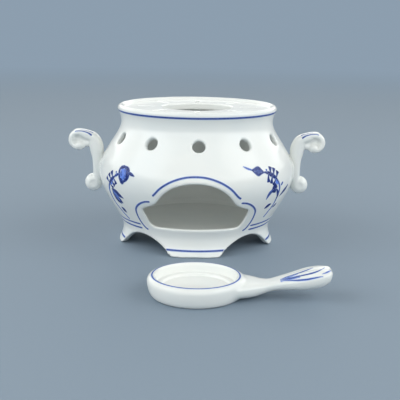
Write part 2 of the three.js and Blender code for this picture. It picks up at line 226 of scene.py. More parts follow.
class WARMER_PG_stage(bpy.types.PropertyGroup):
    """Floor, backdrop and light"""
    floor: colour("Floor", "Colour of the floor and backdrop", (0.218, 0.281, 0.349))
    radius: length("Backdrop radius", "Object to the backdrop's wall", 3000)
    height: length("Backdrop height", "Height of the backdrop's wall", 500)
    bend: length("Backdrop bend", "Round between the floor and the wall", 400)
    key: plain("Key light", "Power of the key light", 0.8, unit="POWER")
    sides: plain("Side lights", "Power of each side light", 3.6, unit="POWER")
    low_cloth: plain("Low cloth", "Strength of the lit cloth low down round the set", 3.1)
    side_cloth: plain("Side cloth", "Strength of the lit cloth that arches over the set", 1.7)
    ceiling: plain("Ceiling", "Strength of the dim ceiling", 0.11)
    beyond: plain("Beyond", "Strength of the floor's colour far off and past the backdrop", 1.22)


def in_millimetres(group):
    """The sizes of a property group in millimetres; counts and angles stay as they are."""
    sizes = SimpleNamespace()
    for key, item in group.bl_rna.properties.items():
        if item.type in ("FLOAT", "INT") and not item.is_array:
            value = getattr(group, key)
            setattr(sizes, key, value / MM if item.unit == "LENGTH" else value)
    return sizes


# Curves in a plane
def bezier(start, control_a, control_b, end, steps=24):
    """Points of a cubic curve from its ends and its two controls."""
    t = np.linspace(0, 1, steps + 1)[:, None]
    points = [np.array(p, float) for p in (start, control_a, control_b, end)]
    return ((1 - t) ** 3 * points[0] + 3 * t * (1 - t) ** 2 * points[1]
            + 3 * t ** 2 * (1 - t) * points[2] + t ** 3 * points[3])


def arc(centre, radius_u, radius_v, start, end, steps=24):
    """Points of an arc from one angle to another, in degrees."""
    angle = np.radians(np.linspace(start, end, steps + 1))
    return np.stack([centre[0] + radius_u * np.cos(angle), centre[1] + radius_v * np.sin(angle)], 1)


def through(rows, steps=8):
    """A smooth curve through rows of values, with equal steps between each two rows."""
    rows = np.array(rows, float)
    padded = np.vstack([2 * rows[0] - rows[1], rows, 2 * rows[-1] - rows[-2]])
    t = np.linspace(0, 1, steps, endpoint=False)[:, None]
    pieces = []
    for before, start, end, after in zip(padded, padded[1:], padded[2:], padded[3:]):
        pieces.append(0.5 * (2 * start + (end - before) * t
                             + (2 * before - 5 * start + 4 * end - after) * t ** 2
                             + (3 * start - before - 3 * end + after) * t ** 3))
    return np.vstack([*pieces, rows[-1:]])


def inwards(points, distance):
    """An upward curve moved towards the axis."""
    along = np.gradient(points, axis=0)
    along /= np.linalg.norm(along, axis=1)[:, None]
    return points + distance * np.stack([-along[:, 1], along[:, 0]], 1)


# Distance fields
def smooth_min(a, b, width):
    """The lower of two distances, rounded where they differ by less than `width`."""
    share = np.clip(0.5 + 0.5 * (b - a) / width, 0, 1)
    return b + (a - b) * share - width * share * (1 - share)


def smooth_max(a, b, width):
    """The higher of two distances, rounded in the same way."""
    return -smooth_min(-a, -b, width)


def outline_distance(points, outline):
    """Distance of flat points to a closed outline, negative inside it."""
    nearest = np.full(len(points), np.inf)
    inside = np.zeros(len(points), bool)
    for start, end in zip(outline, np.roll(outline, -1, 0)):
        edge = end - start
        if not edge.any():
            continue
        away = points - start
        share = np.clip(away @ edge / (edge @ edge), 0, 1)
        nearest = np.minimum(nearest, ((away - share[:, None] * edge) ** 2).sum(1))
        if edge[1]:
            passes = (start[1] > points[:, 1]) != (end[1] > points[:, 1])
            inside ^= passes & (away[:, 0] < away[:, 1] * edge[0] / edge[1])
    return np.where(inside, -1, 1) * np.sqrt(nearest)


class FlatField:
    """A distance over a plane, kept on a fine grid and read back between its points."""

    def __init__(self, distance, low, high, step=0.25):
        self.low, self.step = low, step
        count_u, count_v = (int((b - a) / step) + 2 for a, b in zip(low, high))
        u, v = np.meshgrid(low[0] + step * np.arange(count_u), low[1] + step * np.arange(count_v),
                           indexing="ij")
        self.values = distance(np.stack([u.ravel(), v.ravel()], 1)).reshape(count_u, count_v)

    def __call__(self, u, v):
        u = np.clip((u - self.low[0]) / self.step, 0, self.values.shape[0] - 1.001)
        v = np.clip((v - self.low[1]) / self.step, 0, self.values.shape[1] - 1.001)
        i, j = u.astype(int), v.astype(int)
        u, v = u - i, v - j
        near = self.values[i, j] * (1 - v) + self.values[i, j + 1] * v
        far = self.values[i + 1, j] * (1 - v) + self.values[i + 1, j + 1] * v
        return near * (1 - u) + far * u


def fold(x, y, count, turn=0.0):
    """Distances along and across the nearest of `count` rays, the first of them `turn` from X."""
    radius, angle = np.hypot(x, y), np.arctan2(y, x) - turn
    sector = 2 * np.pi / count
    angle -= np.round(angle / sector) * sector
    return radius * np.cos(angle), radius * np.sin(angle)


def oval(u, v, half_u, half_v, squareness=2.3):
    """Distance to a rounded oval section, true near its edge."""
    u, v = np.abs(u) / half_u + 1e-6, np.abs(v) / half_v + 1e-6
    size = (u ** squareness + v ** squareness) ** (1 / squareness)
    steep = size ** (1 - squareness) * np.hypot(
        u ** (squareness - 1) / half_u, v ** (squareness - 1) / half_v)
    return (size - 1) / np.maximum(steep, 0.5 / np.maximum(half_u, half_v))


def slope_of(field, points, reach=0.25):
    """How steeply the field rises along x, y and z at each point."""
    columns = []
    for shift in np.eye(3) * reach:
        columns.append((field(points + shift) - field(points - shift)) / (2 * reach))
    return np.stack(columns, 1)


def settled(field, points, rounds=3):
    """The points moved onto the field's surface."""
    for _ in range(rounds):
        slope = slope_of(field, points)
        steep = np.maximum((slope ** 2).sum(1), 0.05)
        points = points - np.clip(field(points) / steep, -1, 1)[:, None] * slope
    return points


def sampled(field, low, step, counts):
    """The field on a grid, one layer at a time."""
    x, y = np.meshgrid(low[0] + step * np.arange(counts[0]), low[1] + step * np.arange(counts[1]),
                       indexing="ij")
    values = np.empty(counts)
    for layer in range(counts[2]):
        z = np.full(x.size, low[2] + step * layer)
        values[:, :, layer] = field(np.stack([x.ravel(), y.ravel(), z], 1)).reshape(x.shape)
    return values


def untangled(values):
    """The values without the places where two sheets of the surface would touch along an edge."""
    for axis in (0, 1, 2) * 4:
        quiet = np.moveaxis(values, axis, 2)
        corners_of_face = np.stack([quiet[:-1, :-1], quiet[1:, :-1], quiet[1:, 1:], quiet[:-1, 1:]])
        inside = corners_of_face < 0
        tangled = (inside[0] == inside[2]) & (inside[1] == inside[3]) & (inside[0] != inside[1])
        at = np.argwhere(tangled)
        weakest = np.abs(corners_of_face[:, tangled]).argmin(0)
        at[:, :2] += np.array([(0, 0), (1, 0), (1, 1), (0, 1)])[weakest]
        quiet[tuple(at.T)] = -np.sign(quiet[tuple(at.T)]) * 1e-3
    return values


def net(values):
    """Points, in steps of the grid, and four-sided faces of the surface where values change sign."""
    cells = tuple(n - 1 for n in values.shape)
    total, hits = np.zeros(cells + (3,)), np.zeros(cells)
    crossings = []
    for axis in range(3):
        start = np.moveaxis(values, axis, 0)[:-1]
        end = np.moveaxis(values, axis, 0)[1:]
        crosses = (start < 0) != (end < 0)
        share = np.where(crosses, start / np.where(crosses, start - end, 1), 0)
        crosses, share = np.moveaxis(crosses, 0, axis), np.moveaxis(share, 0, axis)
        crossings.append(crosses)
        side_b, side_c = (axis + 1) % 3, (axis + 2) % 3
        for shift_b in (0, 1):
            for shift_c in (0, 1):
                part = [slice(None)] * 3
                part[side_b] = slice(shift_b, shift_b + cells[side_b])
                part[side_c] = slice(shift_c, shift_c + cells[side_c])
                hit = crosses[tuple(part)]
                hits += hit
                total[..., axis] += hit * share[tuple(part)]
                total[..., side_b] += hit * shift_b
                total[..., side_c] += hit * shift_c
    used = hits > 0
    number = np.full(cells, -1)
    number[used] = np.arange(used.sum())
    points = np.argwhere(used) + total[used] / hits[used][:, None]
    faces = []
    for axis, crosses in enumerate(crossings):
        side_b, side_c = (axis + 1) % 3, (axis + 2) % 3
        at = np.argwhere(crosses)
        at = at[(at[:, side_b] > 0) & (at[:, side_c] > 0)
                & (at[:, side_b] < cells[side_b]) & (at[:, side_c] < cells[side_c])]
        around = []
        for step_b, step_c in ((-1, -1), (0, -1), (0, 0), (-1, 0)):
            cell = at.copy()
            cell[:, side_b] += step_b
            cell[:, side_c] += step_c
            around.append(number[tuple(cell.T)])
        quads = np.stack(around, 1)
        leaves = values[tuple(at.T)] < 0
        faces.append(np.where(leaves[:, None], quads, quads[:, ::-1]))
    return points, np.vstack(faces)


def evened(field, points, faces, rounds=2):
    """The points drawn towards the middle of their neighbours along the surface."""
    pairs = np.vstack([faces[:, [k, (k + 1) % 4]] for k in range(4)])
    for _ in range(rounds):
        total, count = np.zeros_like(points), np.zeros(len(points))
        for a, b in (pairs.T, pairs.T[::-1]):
            for axis in range(3):
                total[:, axis] += np.bincount(a, points[b, axis], len(points))
            count += np.bincount(a, minlength=len(points))
        move = total / count[:, None] - points
        normal = slope_of(field, points)
        normal /= np.linalg.norm(normal, axis=1)[:, None]
        move -= (move * normal).sum(1)[:, None] * normal
        points = settled(field, points + 0.6 * move, 1)
    return points


def skin(field, low, high, step):
    """Points, faces and normals of a field's surface, in millimetres."""
    low = np.array(low, float) - 2.13 * step  # no whole number of steps, so that flat faces miss the grid
    high = np.array(high, float) + 2 * step
    counts = tuple(np.ceil((high - low) / step).astype(int) + 1)
    points, faces = net(untangled(sampled(field, low, step, counts)))
    points = settled(field, low + points * step)
    points = settled(field, evened(field, points, faces), 2)
    normals = slope_of(field, points)
    return points, faces, normals / np.linalg.norm(normals, axis=1)[:, None]


LUTE_REACH = 1.5  # how far a luted piece goes into its host
LUTE_SWELL = 0.3  # how far past the fillet's width the slip may lie beside a piece


def luted(piece, host, fillet, tuck=0.03):
    """A piece whose edge flows into its host in a fillet of slip, and ends just under its surface."""
    def field(points):
        own, base = piece(points), host(points) + tuck
        joined = smooth_min(own, base, fillet)
        return np.maximum(np.maximum(joined, -base - LUTE_REACH), own - fillet - LUTE_SWELL)
    return field


# Objects
def link(obj):
    """The object, put into the scene."""
    bpy.context.scene.collection.objects.link(obj)
    return obj


def porcelain_piece(name, surface, axis, body, *nodes):
    """An object from a surface in millimetres around an axis; it stands for nodes of the frame."""
    points, faces, normals = surface
    mesh = bpy.data.meshes.new(name)
    mesh.from_pydata(((points + axis) * MM).tolist(), [], faces.tolist())
    mesh.polygons.foreach_set("use_smooth", np.ones(len(faces), bool))
    mesh.normals_split_custom_set_from_vertices(normals.tolist())
    mesh.materials.append(glazed_porcelain())
    return settle_piece(link(bpy.data.objects.new(name, mesh)), body, *nodes)


def settle_piece(obj, body, *nodes):
    """The piece rides on its body, and the frame's nodes that it stands for are hidden."""
    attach(obj, body)
    if nodes:
        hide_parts(*nodes)
    return obj


def node(tree, kind, inputs=None, **settings):
    """A node with its settings; an input is given as a value or as the socket that feeds it."""
    made = tree.nodes.new(kind)
    for key, value in settings.items():
        setattr(made, key, value)
    for key, value in (inputs or {}).items():
        if isinstance(value, bpy.types.NodeSocket):
            tree.links.new(value, made.inputs[key])
        else:
            made.inputs[key].default_value = value
    return made


MIX_SOCKETS = {"FLOAT": (2, 3, 0), "RGBA": (6, 7, 2)}  # a Mix node's two inputs and its output


def blend(tree, share, first, second, kind="RGBA"):
    """Two colours, or two values of another kind, mixed by a share."""
    a, b, result = MIX_SOCKETS[kind]
    return node(tree, "ShaderNodeMix", {0: share, a: first, b: second}, data_type=kind).outputs[result]


def maths(tree, operation, *values):
    """The result of a Math node."""
    return node(tree, "ShaderNodeMath", dict(enumerate(values)), operation=operation).outputs[0]


def geometry_tree(name, sockets):
    """An empty tree of geometry nodes with named inputs; gives the tree and its input sockets."""
    tree = bpy.data.node_groups.new(name, "GeometryNodeTree")
    tree.interface.new_socket("Geometry", in_out="OUTPUT", socket_type="NodeSocketGeometry")
    tree.interface.new_socket("Geometry", in_out="INPUT", socket_type="NodeSocketGeometry")
    for label, kind in sockets:
        tree.interface.new_socket(label, in_out="INPUT", socket_type=kind)
    return tree, tree.nodes.new("NodeGroupInput").outputs


def finish_tree(tree, geometry, material):
    """Ends a tree in Realize Instances and Set Material."""
    real = node(tree, "GeometryNodeRealizeInstances", {"Geometry": geometry})
    painted = node(tree, "GeometryNodeSetMaterial", {"Geometry": real.outputs[0], "Material": material})
    node(tree, "NodeGroupOutput", {"Geometry": painted.outputs[0]})
    return tree


def grown(name, source, tree, values):
    """A plain mesh object from a tree that works on a source mesh; values go by input name."""
    maker = link(bpy.data.objects.new(name + "_source", source))
    modifier = maker.modifiers.new(name, "NODES")
    modifier.node_group = tree
    for item in tree.interface.items_tree:
        if item.in_out == "INPUT" and item.name in values:
            modifier[item.identifier] = values[item.name]
    bpy.context.view_layer.update()
    evaluated = maker.evaluated_get(bpy.context.evaluated_depsgraph_get())
    mesh = bpy.data.meshes.new_from_object(evaluated)
    mesh.name = name
    bpy.data.objects.remove(maker)
    return link(bpy.data.objects.new(name, mesh))


def profile_mesh(name, rows):
    """A mesh of one open chain through rows of radius and height, in metres."""
    mesh = bpy.data.meshes.new(name)
    mesh.from_pydata([(r, z, 0) for r, z in rows], [(k, k + 1) for k in range(len(rows) - 1)], [])
    return mesh


def chain_mesh(name, chains):
    """A mesh of open or closed chains of points; each chain is points, half widths, ink and closed."""
    points, edges, widths, inks, layers = [], [], [], [], []
    for layer, (chain, half_widths, ink, closed) in enumerate(chains):
        first, count = len(points), len(chain)
        points.extend(chain)
        widths.extend(half_widths)
        inks.extend([ink] * count)
        layers.extend([layer / len(chains)] * count)
        edges.extend((first + k, first + k + 1) for k in range(count - 1))
        if closed:
            edges.append((first + count - 1, first))
    mesh = bpy.data.meshes.new(name)
    mesh.from_pydata([list(p) for p in points], edges, [])
    for label, values in (("half_width", widths), ("ink", inks), ("layer", layers)):
        mesh.attributes.new(label, "FLOAT", "POINT").data.foreach_set("value", np.array(values, np.float32))
    return mesh


def once(maker):
    """Keeps what a maker builds, so that each tree, group and material is built once."""
    made = []

    def get():
        if not made:
            made.append(maker())
        return made[0]
    return get


@once
def turned_form():
    """Turns a profile in X and Y, its radius and height, about Z; mirrored, so that faces look outwards."""
    tree, given = geometry_tree("Turned form", [
        ("Facets", "NodeSocketInt"), ("Material", "NodeSocketMaterial")])
    profile = node(tree, "GeometryNodeMeshToCurve", {"Mesh": given["Geometry"]})
    profile = node(tree, "GeometryNodeTransform", {"Geometry": profile.outputs[0], "Scale": (1, -1, 1)})
    profile = node(tree, "GeometryNodeReverseCurve", {"Curve": profile.outputs[0]})
    circle = node(tree, "GeometryNodeCurvePrimitiveCircle", {
        "Resolution": given["Facets"], "Radius": 1e-6})
    upright = node(tree, "GeometryNodeSetCurveNormal", {"Curve": circle.outputs[0]}, mode="Z_UP")
    shell = node(tree, "GeometryNodeCurveToMesh", {
        "Curve": upright.outputs[0], "Profile Curve": profile.outputs[0]})
    closed = node(tree, "GeometryNodeMergeByDistance", {"Geometry": shell.outputs[0], "Distance": 1e-5})
    smooth = node(tree, "GeometryNodeSetShadeSmooth", {"Geometry": closed.outputs[0]})
    return finish_tree(tree, smooth.outputs[0], given["Material"])


STROKE_SIDES = 12  # points round a stroke's section
STROKE_FLATNESS = 0.05  # thickness of a stroke before it is laid, as a share of its width


@once
def brush_stroke():
    """Lays brush strokes on a surface: chains of points with half widths become thin closed lenses.

    A later stroke lies a little higher than an earlier one, so that it covers it.
    """
    tree, given = geometry_tree("Brush stroke", [
        ("Surface", "NodeSocketObject"), ("Lift", "NodeSocketFloat"), ("Sink", "NodeSocketFloat"),
        ("Material", "NodeSocketMaterial")])
    surface = node(tree, "GeometryNodeObjectInfo", {"Object": given["Surface"]}).outputs["Geometry"]
    facing = node(tree, "GeometryNodeInputNormal").outputs[0]

    def surface_normal():
        sample = node(tree, "GeometryNodeSampleNearestSurface", {"Mesh": surface}, data_type="FLOAT_VECTOR")
        tree.links.new(facing, sample.inputs["Value"])
        return sample.outputs["Value"]

    def named(label):
        found = node(tree, "GeometryNodeInputNamedAttribute", {"Name": label}, data_type="FLOAT")
        return found.outputs["Attribute"]

    path = node(tree, "GeometryNodeMeshToCurve", {"Mesh": given["Geometry"]})
    path = node(tree, "GeometryNodeSetCurveNormal", {
        "Curve": path.outputs[0], "Normal": surface_normal()}, mode="FREE")
    ring = node(tree, "GeometryNodeCurvePrimitiveCircle", {
        "Resolution": STROKE_SIDES, "Radius": 1.0}).outputs[0]
    place = node(tree, "ShaderNodeSeparateXYZ", {0: node(tree, "GeometryNodeInputPosition").outputs[0]})
    for label, value in (("across", place.outputs["Y"]), ("height", place.outputs["X"])):
        ring = node(tree, "GeometryNodeStoreNamedAttribute", {
            "Geometry": ring, "Name": label, "Value": value}, data_type="FLOAT", domain="POINT").outputs[0]
    flat = node(tree, "GeometryNodeTransform", {"Geometry": ring, "Scale": (STROKE_FLATNESS, 1, 1)})
    band = node(tree, "GeometryNodeCurveToMesh", {
        "Curve": path.outputs[0], "Profile Curve": flat.outputs[0],
        "Scale": named("half_width"), "Fill Caps": True})
    height = named("height")
    upper = maths(tree, "GREATER_THAN", height, 0.0)
    lift = maths(tree, "MULTIPLY_ADD", named("layer"), given["Lift"], given["Lift"])
    reach = maths(tree, "MULTIPLY", height, blend(tree, upper, given["Sink"], lift, "FLOAT"))
    offset = node(tree, "ShaderNodeVectorMath", {0: surface_normal(), "Scale": reach}, operation="SCALE")
    foot = node(tree, "GeometryNodeProximity", {0: surface}, target_element="FACES")
    laid = node(tree, "GeometryNodeSetPosition", {
        "Geometry": band.outputs[0], "Position": foot.outputs["Position"], "Offset": offset.outputs[0]})
    smooth = node(tree, "GeometryNodeSetShadeSmooth", {"Geometry": laid.outputs[0]})
    return finish_tree(tree, smooth.outputs[0], given["Material"])


def painted(name, chains, surface, body):
    """Brush strokes on a piece; the chains' points and widths are in metres."""
    paint = bpy.context.scene.warmer_paint
    chains = [(points, halves + paint.bleed, ink, closed) for points, halves, ink, closed in chains]
    values = {"Surface": surface, "Lift": paint.lift, "Sink": paint.sink, "Material": cobalt_underglaze()}
    return settle_piece(grown(name, chain_mesh(name, chains), brush_stroke(), values), body)


# Materials
def material_tree(name):
    """A material with one Principled shader; gives the material, its tree and the shader."""
    material = bpy.data.materials.new(name)
    material.use_nodes = True
    tree = material.node_tree
    tree.nodes.clear()
    shader = tree.nodes.new("ShaderNodeBsdfPrincipled")
    node(tree, "ShaderNodeOutputMaterial", {"Surface": shader.outputs[0]})
    return material, tree, shader


def ranged(tree, value, from_low, from_high, to_low, to_high, way="LINEAR"):
    """A value spread from one range to another and held there."""
    return node(tree, "ShaderNodeMapRange", {
        "Value": value, "From Min": from_low, "From Max": from_high,
        "To Min": to_low, "To Max": to_high}, interpolation_type=way).outputs[0]


def noise(tree, place, scale, detail=2.0):
    """A noise texture's value at a place."""
    return node(tree, "ShaderNodeTexNoise", {
        "Vector": place, "Scale": scale, "Detail": detail}).outputs["Fac"]


def object_place(tree):
    """The place on the object, in metres."""
    return node(tree, "ShaderNodeTexCoord").outputs["Object"]


def seen_by_camera(tree):
    """1 for what the camera sees by itself, 0 for light and reflections."""
    return node(tree, "ShaderNodeLightPath").outputs["Is Camera Ray"]


def opaque(paint):
    """A colour with its alpha."""
    return (*paint, 1)


GLAZE_START = {"Pool size": 24.0, "Grain size": 420.0, "Wave size": 110.0,
               "Smoothest": 0.14, "Roughest": 0.21}
GLAZE_IOR = 1.52
BARE_SCALE, STREAK_SCALE, PAPER_SCALE = 300.0, 900.0, 700.0  # of the noise in clay, brush strokes and paper
POOLED = (0.42, 0.72)  # noise values between which the glaze turns from thin to pooled
BARE_EDGE = (0.00004, 0.0002)  # lowest and highest place, in metres, where the glaze under a foot begins
BARE_ROUGHNESS = 0.7
UNDERGLAZE_SPECULAR = 0.25
STREAKS = (0.75, 1.1)  # least and most ink in a stroke's streaks
PAPER_ROUGHNESS = 0.75
PAPER_GRAIN = 0.96  # darkest place of the paper, as a share of its colour
PAPER_FADE = (0.8, 2.2)  # metres from the set over which the paper turns even


@once
def glaze_group():
    """How a fired glaze varies: where it pools, how smooth it lies, and its slight waviness."""
    tree = bpy.data.node_groups.new("Fired glaze", "ShaderNodeTree")
    for label, start in GLAZE_START.items():
        socket = tree.interface.new_socket(label, in_out="INPUT", socket_type="NodeSocketFloat")
        socket.default_value = start
    for label in ("Pool", "Roughness", "Height"):
        tree.interface.new_socket(label, in_out="OUTPUT", socket_type="NodeSocketFloat")
    given = tree.nodes.new("NodeGroupInput").outputs
    place = object_place(tree)
    pool = ranged(tree, noise(tree, place, given["Pool size"], 3.0), *POOLED, 0.0, 1.0)
    grain = noise(tree, place, given["Grain size"])
    rough = blend(tree, grain, given["Smoothest"], given["Roughest"], "FLOAT")
    waves = noise(tree, place, given["Wave size"], 1.0)
    node(tree, "NodeGroupOutput", {"Pool": pool, "Roughness": rough, "Height": waves})
    return tree


def glaze_on(tree, shader):
    """Gives a shader the index and waviness of the fired glaze; gives back the glaze's other values."""
    glaze = node(tree, "ShaderNodeGroup", node_tree=glaze_group()).outputs
    bump = node(tree, "ShaderNodeBump", {"Height": glaze["Height"], "Strength": 0.25, "Distance": 0.0002})
    tree.links.new(bump.outputs[0], shader.inputs["Normal"])
    shader.inputs["IOR"].default_value = GLAZE_IOR
    return glaze


@once
def glazed_porcelain():
    """White glazed clay, faintly green where the glaze pools, bare and matt under the feet."""
    looks = bpy.context.scene.warmer_glaze
    material, tree, shader = material_tree("glazed_porcelain")
    glaze = glaze_on(tree, shader)
    place = object_place(tree)
    height = node(tree, "ShaderNodeSeparateXYZ", {0: place}).outputs["Z"]
    edge = ranged(tree, noise(tree, place, BARE_SCALE), 0.3, 0.7, *BARE_EDGE)
    bare = maths(tree, "LESS_THAN", height, edge)
    tint = blend(tree, glaze["Pool"], opaque(looks.white), opaque(looks.pooled))
    tree.links.new(blend(tree, bare, tint, opaque(looks.bare)), shader.inputs["Base Color"])
    rough = blend(tree, bare, glaze["Roughness"], BARE_ROUGHNESS, "FLOAT")
    tree.links.new(rough, shader.inputs["Roughness"])
    return material


@once
def cobalt_underglaze():
    """Cobalt under the glaze: dark where the brush was full, washed out towards the stroke's edge."""
    looks = bpy.context.scene.warmer_paint
    white = bpy.context.scene.warmer_glaze.white
    material, tree, shader = material_tree("cobalt_underglaze")
    glaze = glaze_on(tree, shader)
    tree.links.new(glaze["Roughness"], shader.inputs["Roughness"])
    across, ink, half = (node(tree, "ShaderNodeAttribute", attribute_name=label).outputs["Fac"]
                         for label in ("across", "ink", "half_width"))
    inner = maths(tree, "SUBTRACT", 1.0, maths(tree, "ABSOLUTE", across))
    inside = maths(tree, "MULTIPLY", inner, half)
    streaks = ranged(tree, noise(tree, object_place(tree), STREAK_SCALE, 3.0), 0.3, 0.7, *STREAKS)
    full = maths(tree, "MULTIPLY", streaks, ink)
    body = blend(tree, full, opaque(looks.wash), opaque(looks.cobalt))
    bleeding = ranged(tree, inside, 0.0, 0.8 * looks.bleed, 0.0, 1.0)
    within = ranged(tree, inside, 0.55 * looks.bleed, 1.25 * looks.bleed, 0.0, 1.0)
    edge = blend(tree, bleeding, opaque(white), opaque(looks.faint))
    tree.links.new(blend(tree, within, edge, body), shader.inputs["Base Color"])
    shader.inputs["Specular IOR Level"].default_value = UNDERGLAZE_SPECULAR
    return material


@once
def stage_paper():
    """Matt paper of the floor and backdrop; far off, the camera sees it evenly lit."""
    stage = bpy.context.scene.warmer_stage
    material, tree, shader = material_tree("stage_paper")
    place = object_place(tree)
    darker = [PAPER_GRAIN * c for c in stage.floor]
    grained = blend(tree, noise(tree, place, PAPER_SCALE), opaque(stage.floor), opaque(darker))
    tree.links.new(grained, shader.inputs["Base Color"])
    shader.inputs["Roughness"].default_value = PAPER_ROUGHNESS
    away = node(tree, "ShaderNodeVectorMath", {0: place}, operation="LENGTH").outputs["Value"]
    far = ranged(tree, away, *PAPER_FADE, 0.0, 1.0, "SMOOTHSTEP")
    far = maths(tree, "MULTIPLY", far, seen_by_camera(tree))
    even = node(tree, "ShaderNodeEmission", {"Color": opaque(stage.floor), "Strength": stage.beyond})
    mixed = node(tree, "ShaderNodeMixShader", {0: far, 1: shader.outputs[0], 2: even.outputs[0]})
    tree.links.new(mixed.outputs[0], tree.nodes["Material Output"].inputs["Surface"])
    return material


# Forms of the warmer, in millimetres around its axis
PAST_AXIS = -30  # outlines are carried this far past the axis
BELOW = -4  # and this far below the table
SILL_IN, ARCH_IN = 10, 10.5  # from the opening's widest place in to its sill and to the foot of its arch
WIDEST_UP, ARCH_UP = 13.5, 21  # from the sill up to the opening's widest place and to the foot of its arch
SAWN_TO = -25  # the front opening is sawn from the front to this Y
GAPS_FROM = 42  # the gaps between the feet are sawn outwards from this distance
GAP_BELOW_FLOOR = 0.2
DRILL_HALF = 10  # half length of the drill of a vent
LEDGE_ROUND, HOLLOW_ROUND = 0.8, 1.6
VENT_LIP = GAP_LIP = 1.3
SLOT_LIP = 0.8
THINNED_OVER = 12  # width of the ring over which the plate thins


def outer_wall(s):
    """Outer wall from the table up to the widest place of the rim."""
    neck = s.rim_radius - s.neck_inset
    neck_height = RIM_HEIGHT - s.neck_depth
    belly = BELLY_RADIUS - s.belly_inset
    rim = (s.rim_radius, RIM_HEIGHT - s.rim_depth)
    foot = bezier((s.foot_radius, 0), (s.foot_radius - 2.2, 3),
                  (s.waist_radius, s.waist_height - 5), (s.waist_radius, s.waist_height))
    lower = bezier((s.waist_radius, s.waist_height), (s.waist_radius, s.waist_height + 8.4),
                   (belly, s.belly_height - 14.5), (belly, s.belly_height), 40)
    upper = bezier((belly, s.belly_height), (belly, s.belly_height + 13.5),
                   (neck, neck_height - 8.9), (neck, neck_height), 40)
    throat = bezier((neck, neck_height), (neck, neck_height + 4.5), (rim[0] - 0.9, rim[1] - 2.6), rim)
    return np.vstack([foot, lower[1:], upper[1:], throat[1:]])


def opening_outline(s):
    """Right half of the front opening in x and z, carried past the middle."""
    low = s.floor_top + s.sill_up
    lobe, sill, foot = s.lobe_half, s.lobe_half - SILL_IN, s.lobe_half - ARCH_IN
    mid, cusp, top = low + WIDEST_UP, low + ARCH_UP, low + s.opening_height
    corner = bezier((sill, low), (sill + 3.3, low + 0.2), (lobe - 4.4, low + 2.3), (lobe - 3.3, low + 5.6))
    ear = bezier((lobe - 0.6, mid - 2.2), (lobe, mid - 0.2), (lobe - 0.2, mid + 0.9), (lobe - 1.8, mid + 1.1))
    shoulder = bezier((lobe - 1.8, mid + 1.1), (foot + 5.3, mid + 2.9), (foot + 2, cusp - 3.4), (foot, cusp))
    arch = bezier((foot, cusp), (foot - 3.5, cusp + 6.5), (foot * 0.56, top), (0, top))
    return np.vstack([[(PAST_AXIS, low)], corner, ear, shoulder[1:], arch[1:], [(PAST_AXIS, top)]])


def body_section(s):
    """Distance to the body's section in radius and height, before anything is cut through it."""
    outer = outer_wall(s)
    middle = (s.rim_radius - s.rim_width / 2, RIM_HEIGHT - s.rim_depth)
    roll = arc(middle, s.rim_width / 2, s.rim_depth, 0, 180)
    seat = PLATE_BOTTOM - SEAM
    shell = np.vstack([[(PAST_AXIS, BELOW), (s.foot_radius, BELOW)], outer, roll[1:],
                       [(PLATE_RADIUS + SEAM, seat), (PAST_AXIS, seat)]])
    inner = inwards(outer, s.wall)
    wall_foot = s.floor_top + s.floor_fillet
    inner = inner[(inner[:, 1] > wall_foot + 0.5) & (inner[:, 1] < seat - 1) & (outer[:, 1] > s.waist_height)]
    corner = (inner[0, 0] - 0.3 - s.floor_fillet, wall_foot)
    fillet = arc(corner, s.floor_fillet, s.floor_fillet, -90, 0, 12)
    mouth = PLATE_RADIUS - s.plate_ledge
    cavity = np.vstack([[(PAST_AXIS, s.floor_top)], fillet, inner,
                        [(mouth, seat + 1), (PAST_AXIS, seat + 1)]])
    underside = s.floor_top - s.floor_thickness
    foot_inside = inwards(outer, s.foot_wall)
    foot_inside = foot_inside[(foot_inside[:, 1] < underside - 2.5) & (outer[:, 1] < s.waist_height)]
    inside = s.waist_radius - s.foot_wall
    hollow = np.vstack([[(PAST_AXIS, BELOW - 2), (s.foot_radius - s.foot_wall, BELOW - 2)], foot_inside,
                        [(inside, underside - 2), (inside - 2, underside), (PAST_AXIS, underside)]])

    def distance(points):
        solid = smooth_max(outline_distance(points, shell), -outline_distance(points, cavity), LEDGE_ROUND)
        return smooth_max(solid, -outline_distance(points, hollow), HOLLOW_ROUND)
    return FlatField(distance, (0, BELOW), (BELLY_RADIUS + 6, RIM_HEIGHT + 4))


def body_form(s):
    """Distance to the body: its section, less the front opening, the vents and the gaps between feet."""
    section = body_section(s)
    outline = opening_outline(s)
    opening = FlatField(lambda points: outline_distance(points, outline), (0, 8), (BELLY_RADIUS, 70))
    outer = outer_wall(s)
    vent_height = RIM_HEIGHT - s.vent_depth
    vent_out = np.interp(vent_height, outer[:, 1], outer[:, 0])
    slope = np.diff(np.interp([vent_height - 2, vent_height + 2], outer[:, 1], outer[:, 0]))[0] / 4
    tilt_out, tilt_up = np.array([1, -slope]) / math.hypot(1, slope)
    gap_top = s.floor_top - s.floor_thickness - GAP_BELOW_FLOOR
    gap_half = s.arch_width / 2

    def field(points):
        x, y, z = points.T
        solid = section(np.hypot(x, y), z)
        front = smooth_max(opening(np.abs(x), z), y - SAWN_TO, 1)
        solid = smooth_max(solid, -front, s.lip)
        out, aside = fold(-y, x, s.vents, s.vent_turn)
        along = (out - vent_out) * tilt_out + (z - vent_height) * tilt_up
        across = (z - vent_height) * tilt_out - (out - vent_out) * tilt_up
        vent = np.maximum(np.hypot(aside, across) - s.vent_radius, np.abs(along) - DRILL_HALF)
        solid = smooth_max(solid, -vent, VENT_LIP)
        out, aside = (np.abs(x) + np.abs(y)) / math.sqrt(2), (np.abs(x) - np.abs(y)) / math.sqrt(2)
        rise = gap_top * (1 - (aside / gap_half) ** 2)
        gap = (z - rise) / np.hypot(1, 2 * gap_top * aside / gap_half ** 2)
        solid = smooth_max(solid, -smooth_max(gap, GAPS_FROM - out, 1), GAP_LIP)
        return smooth_max(solid, -z, s.foot_round)
    return field


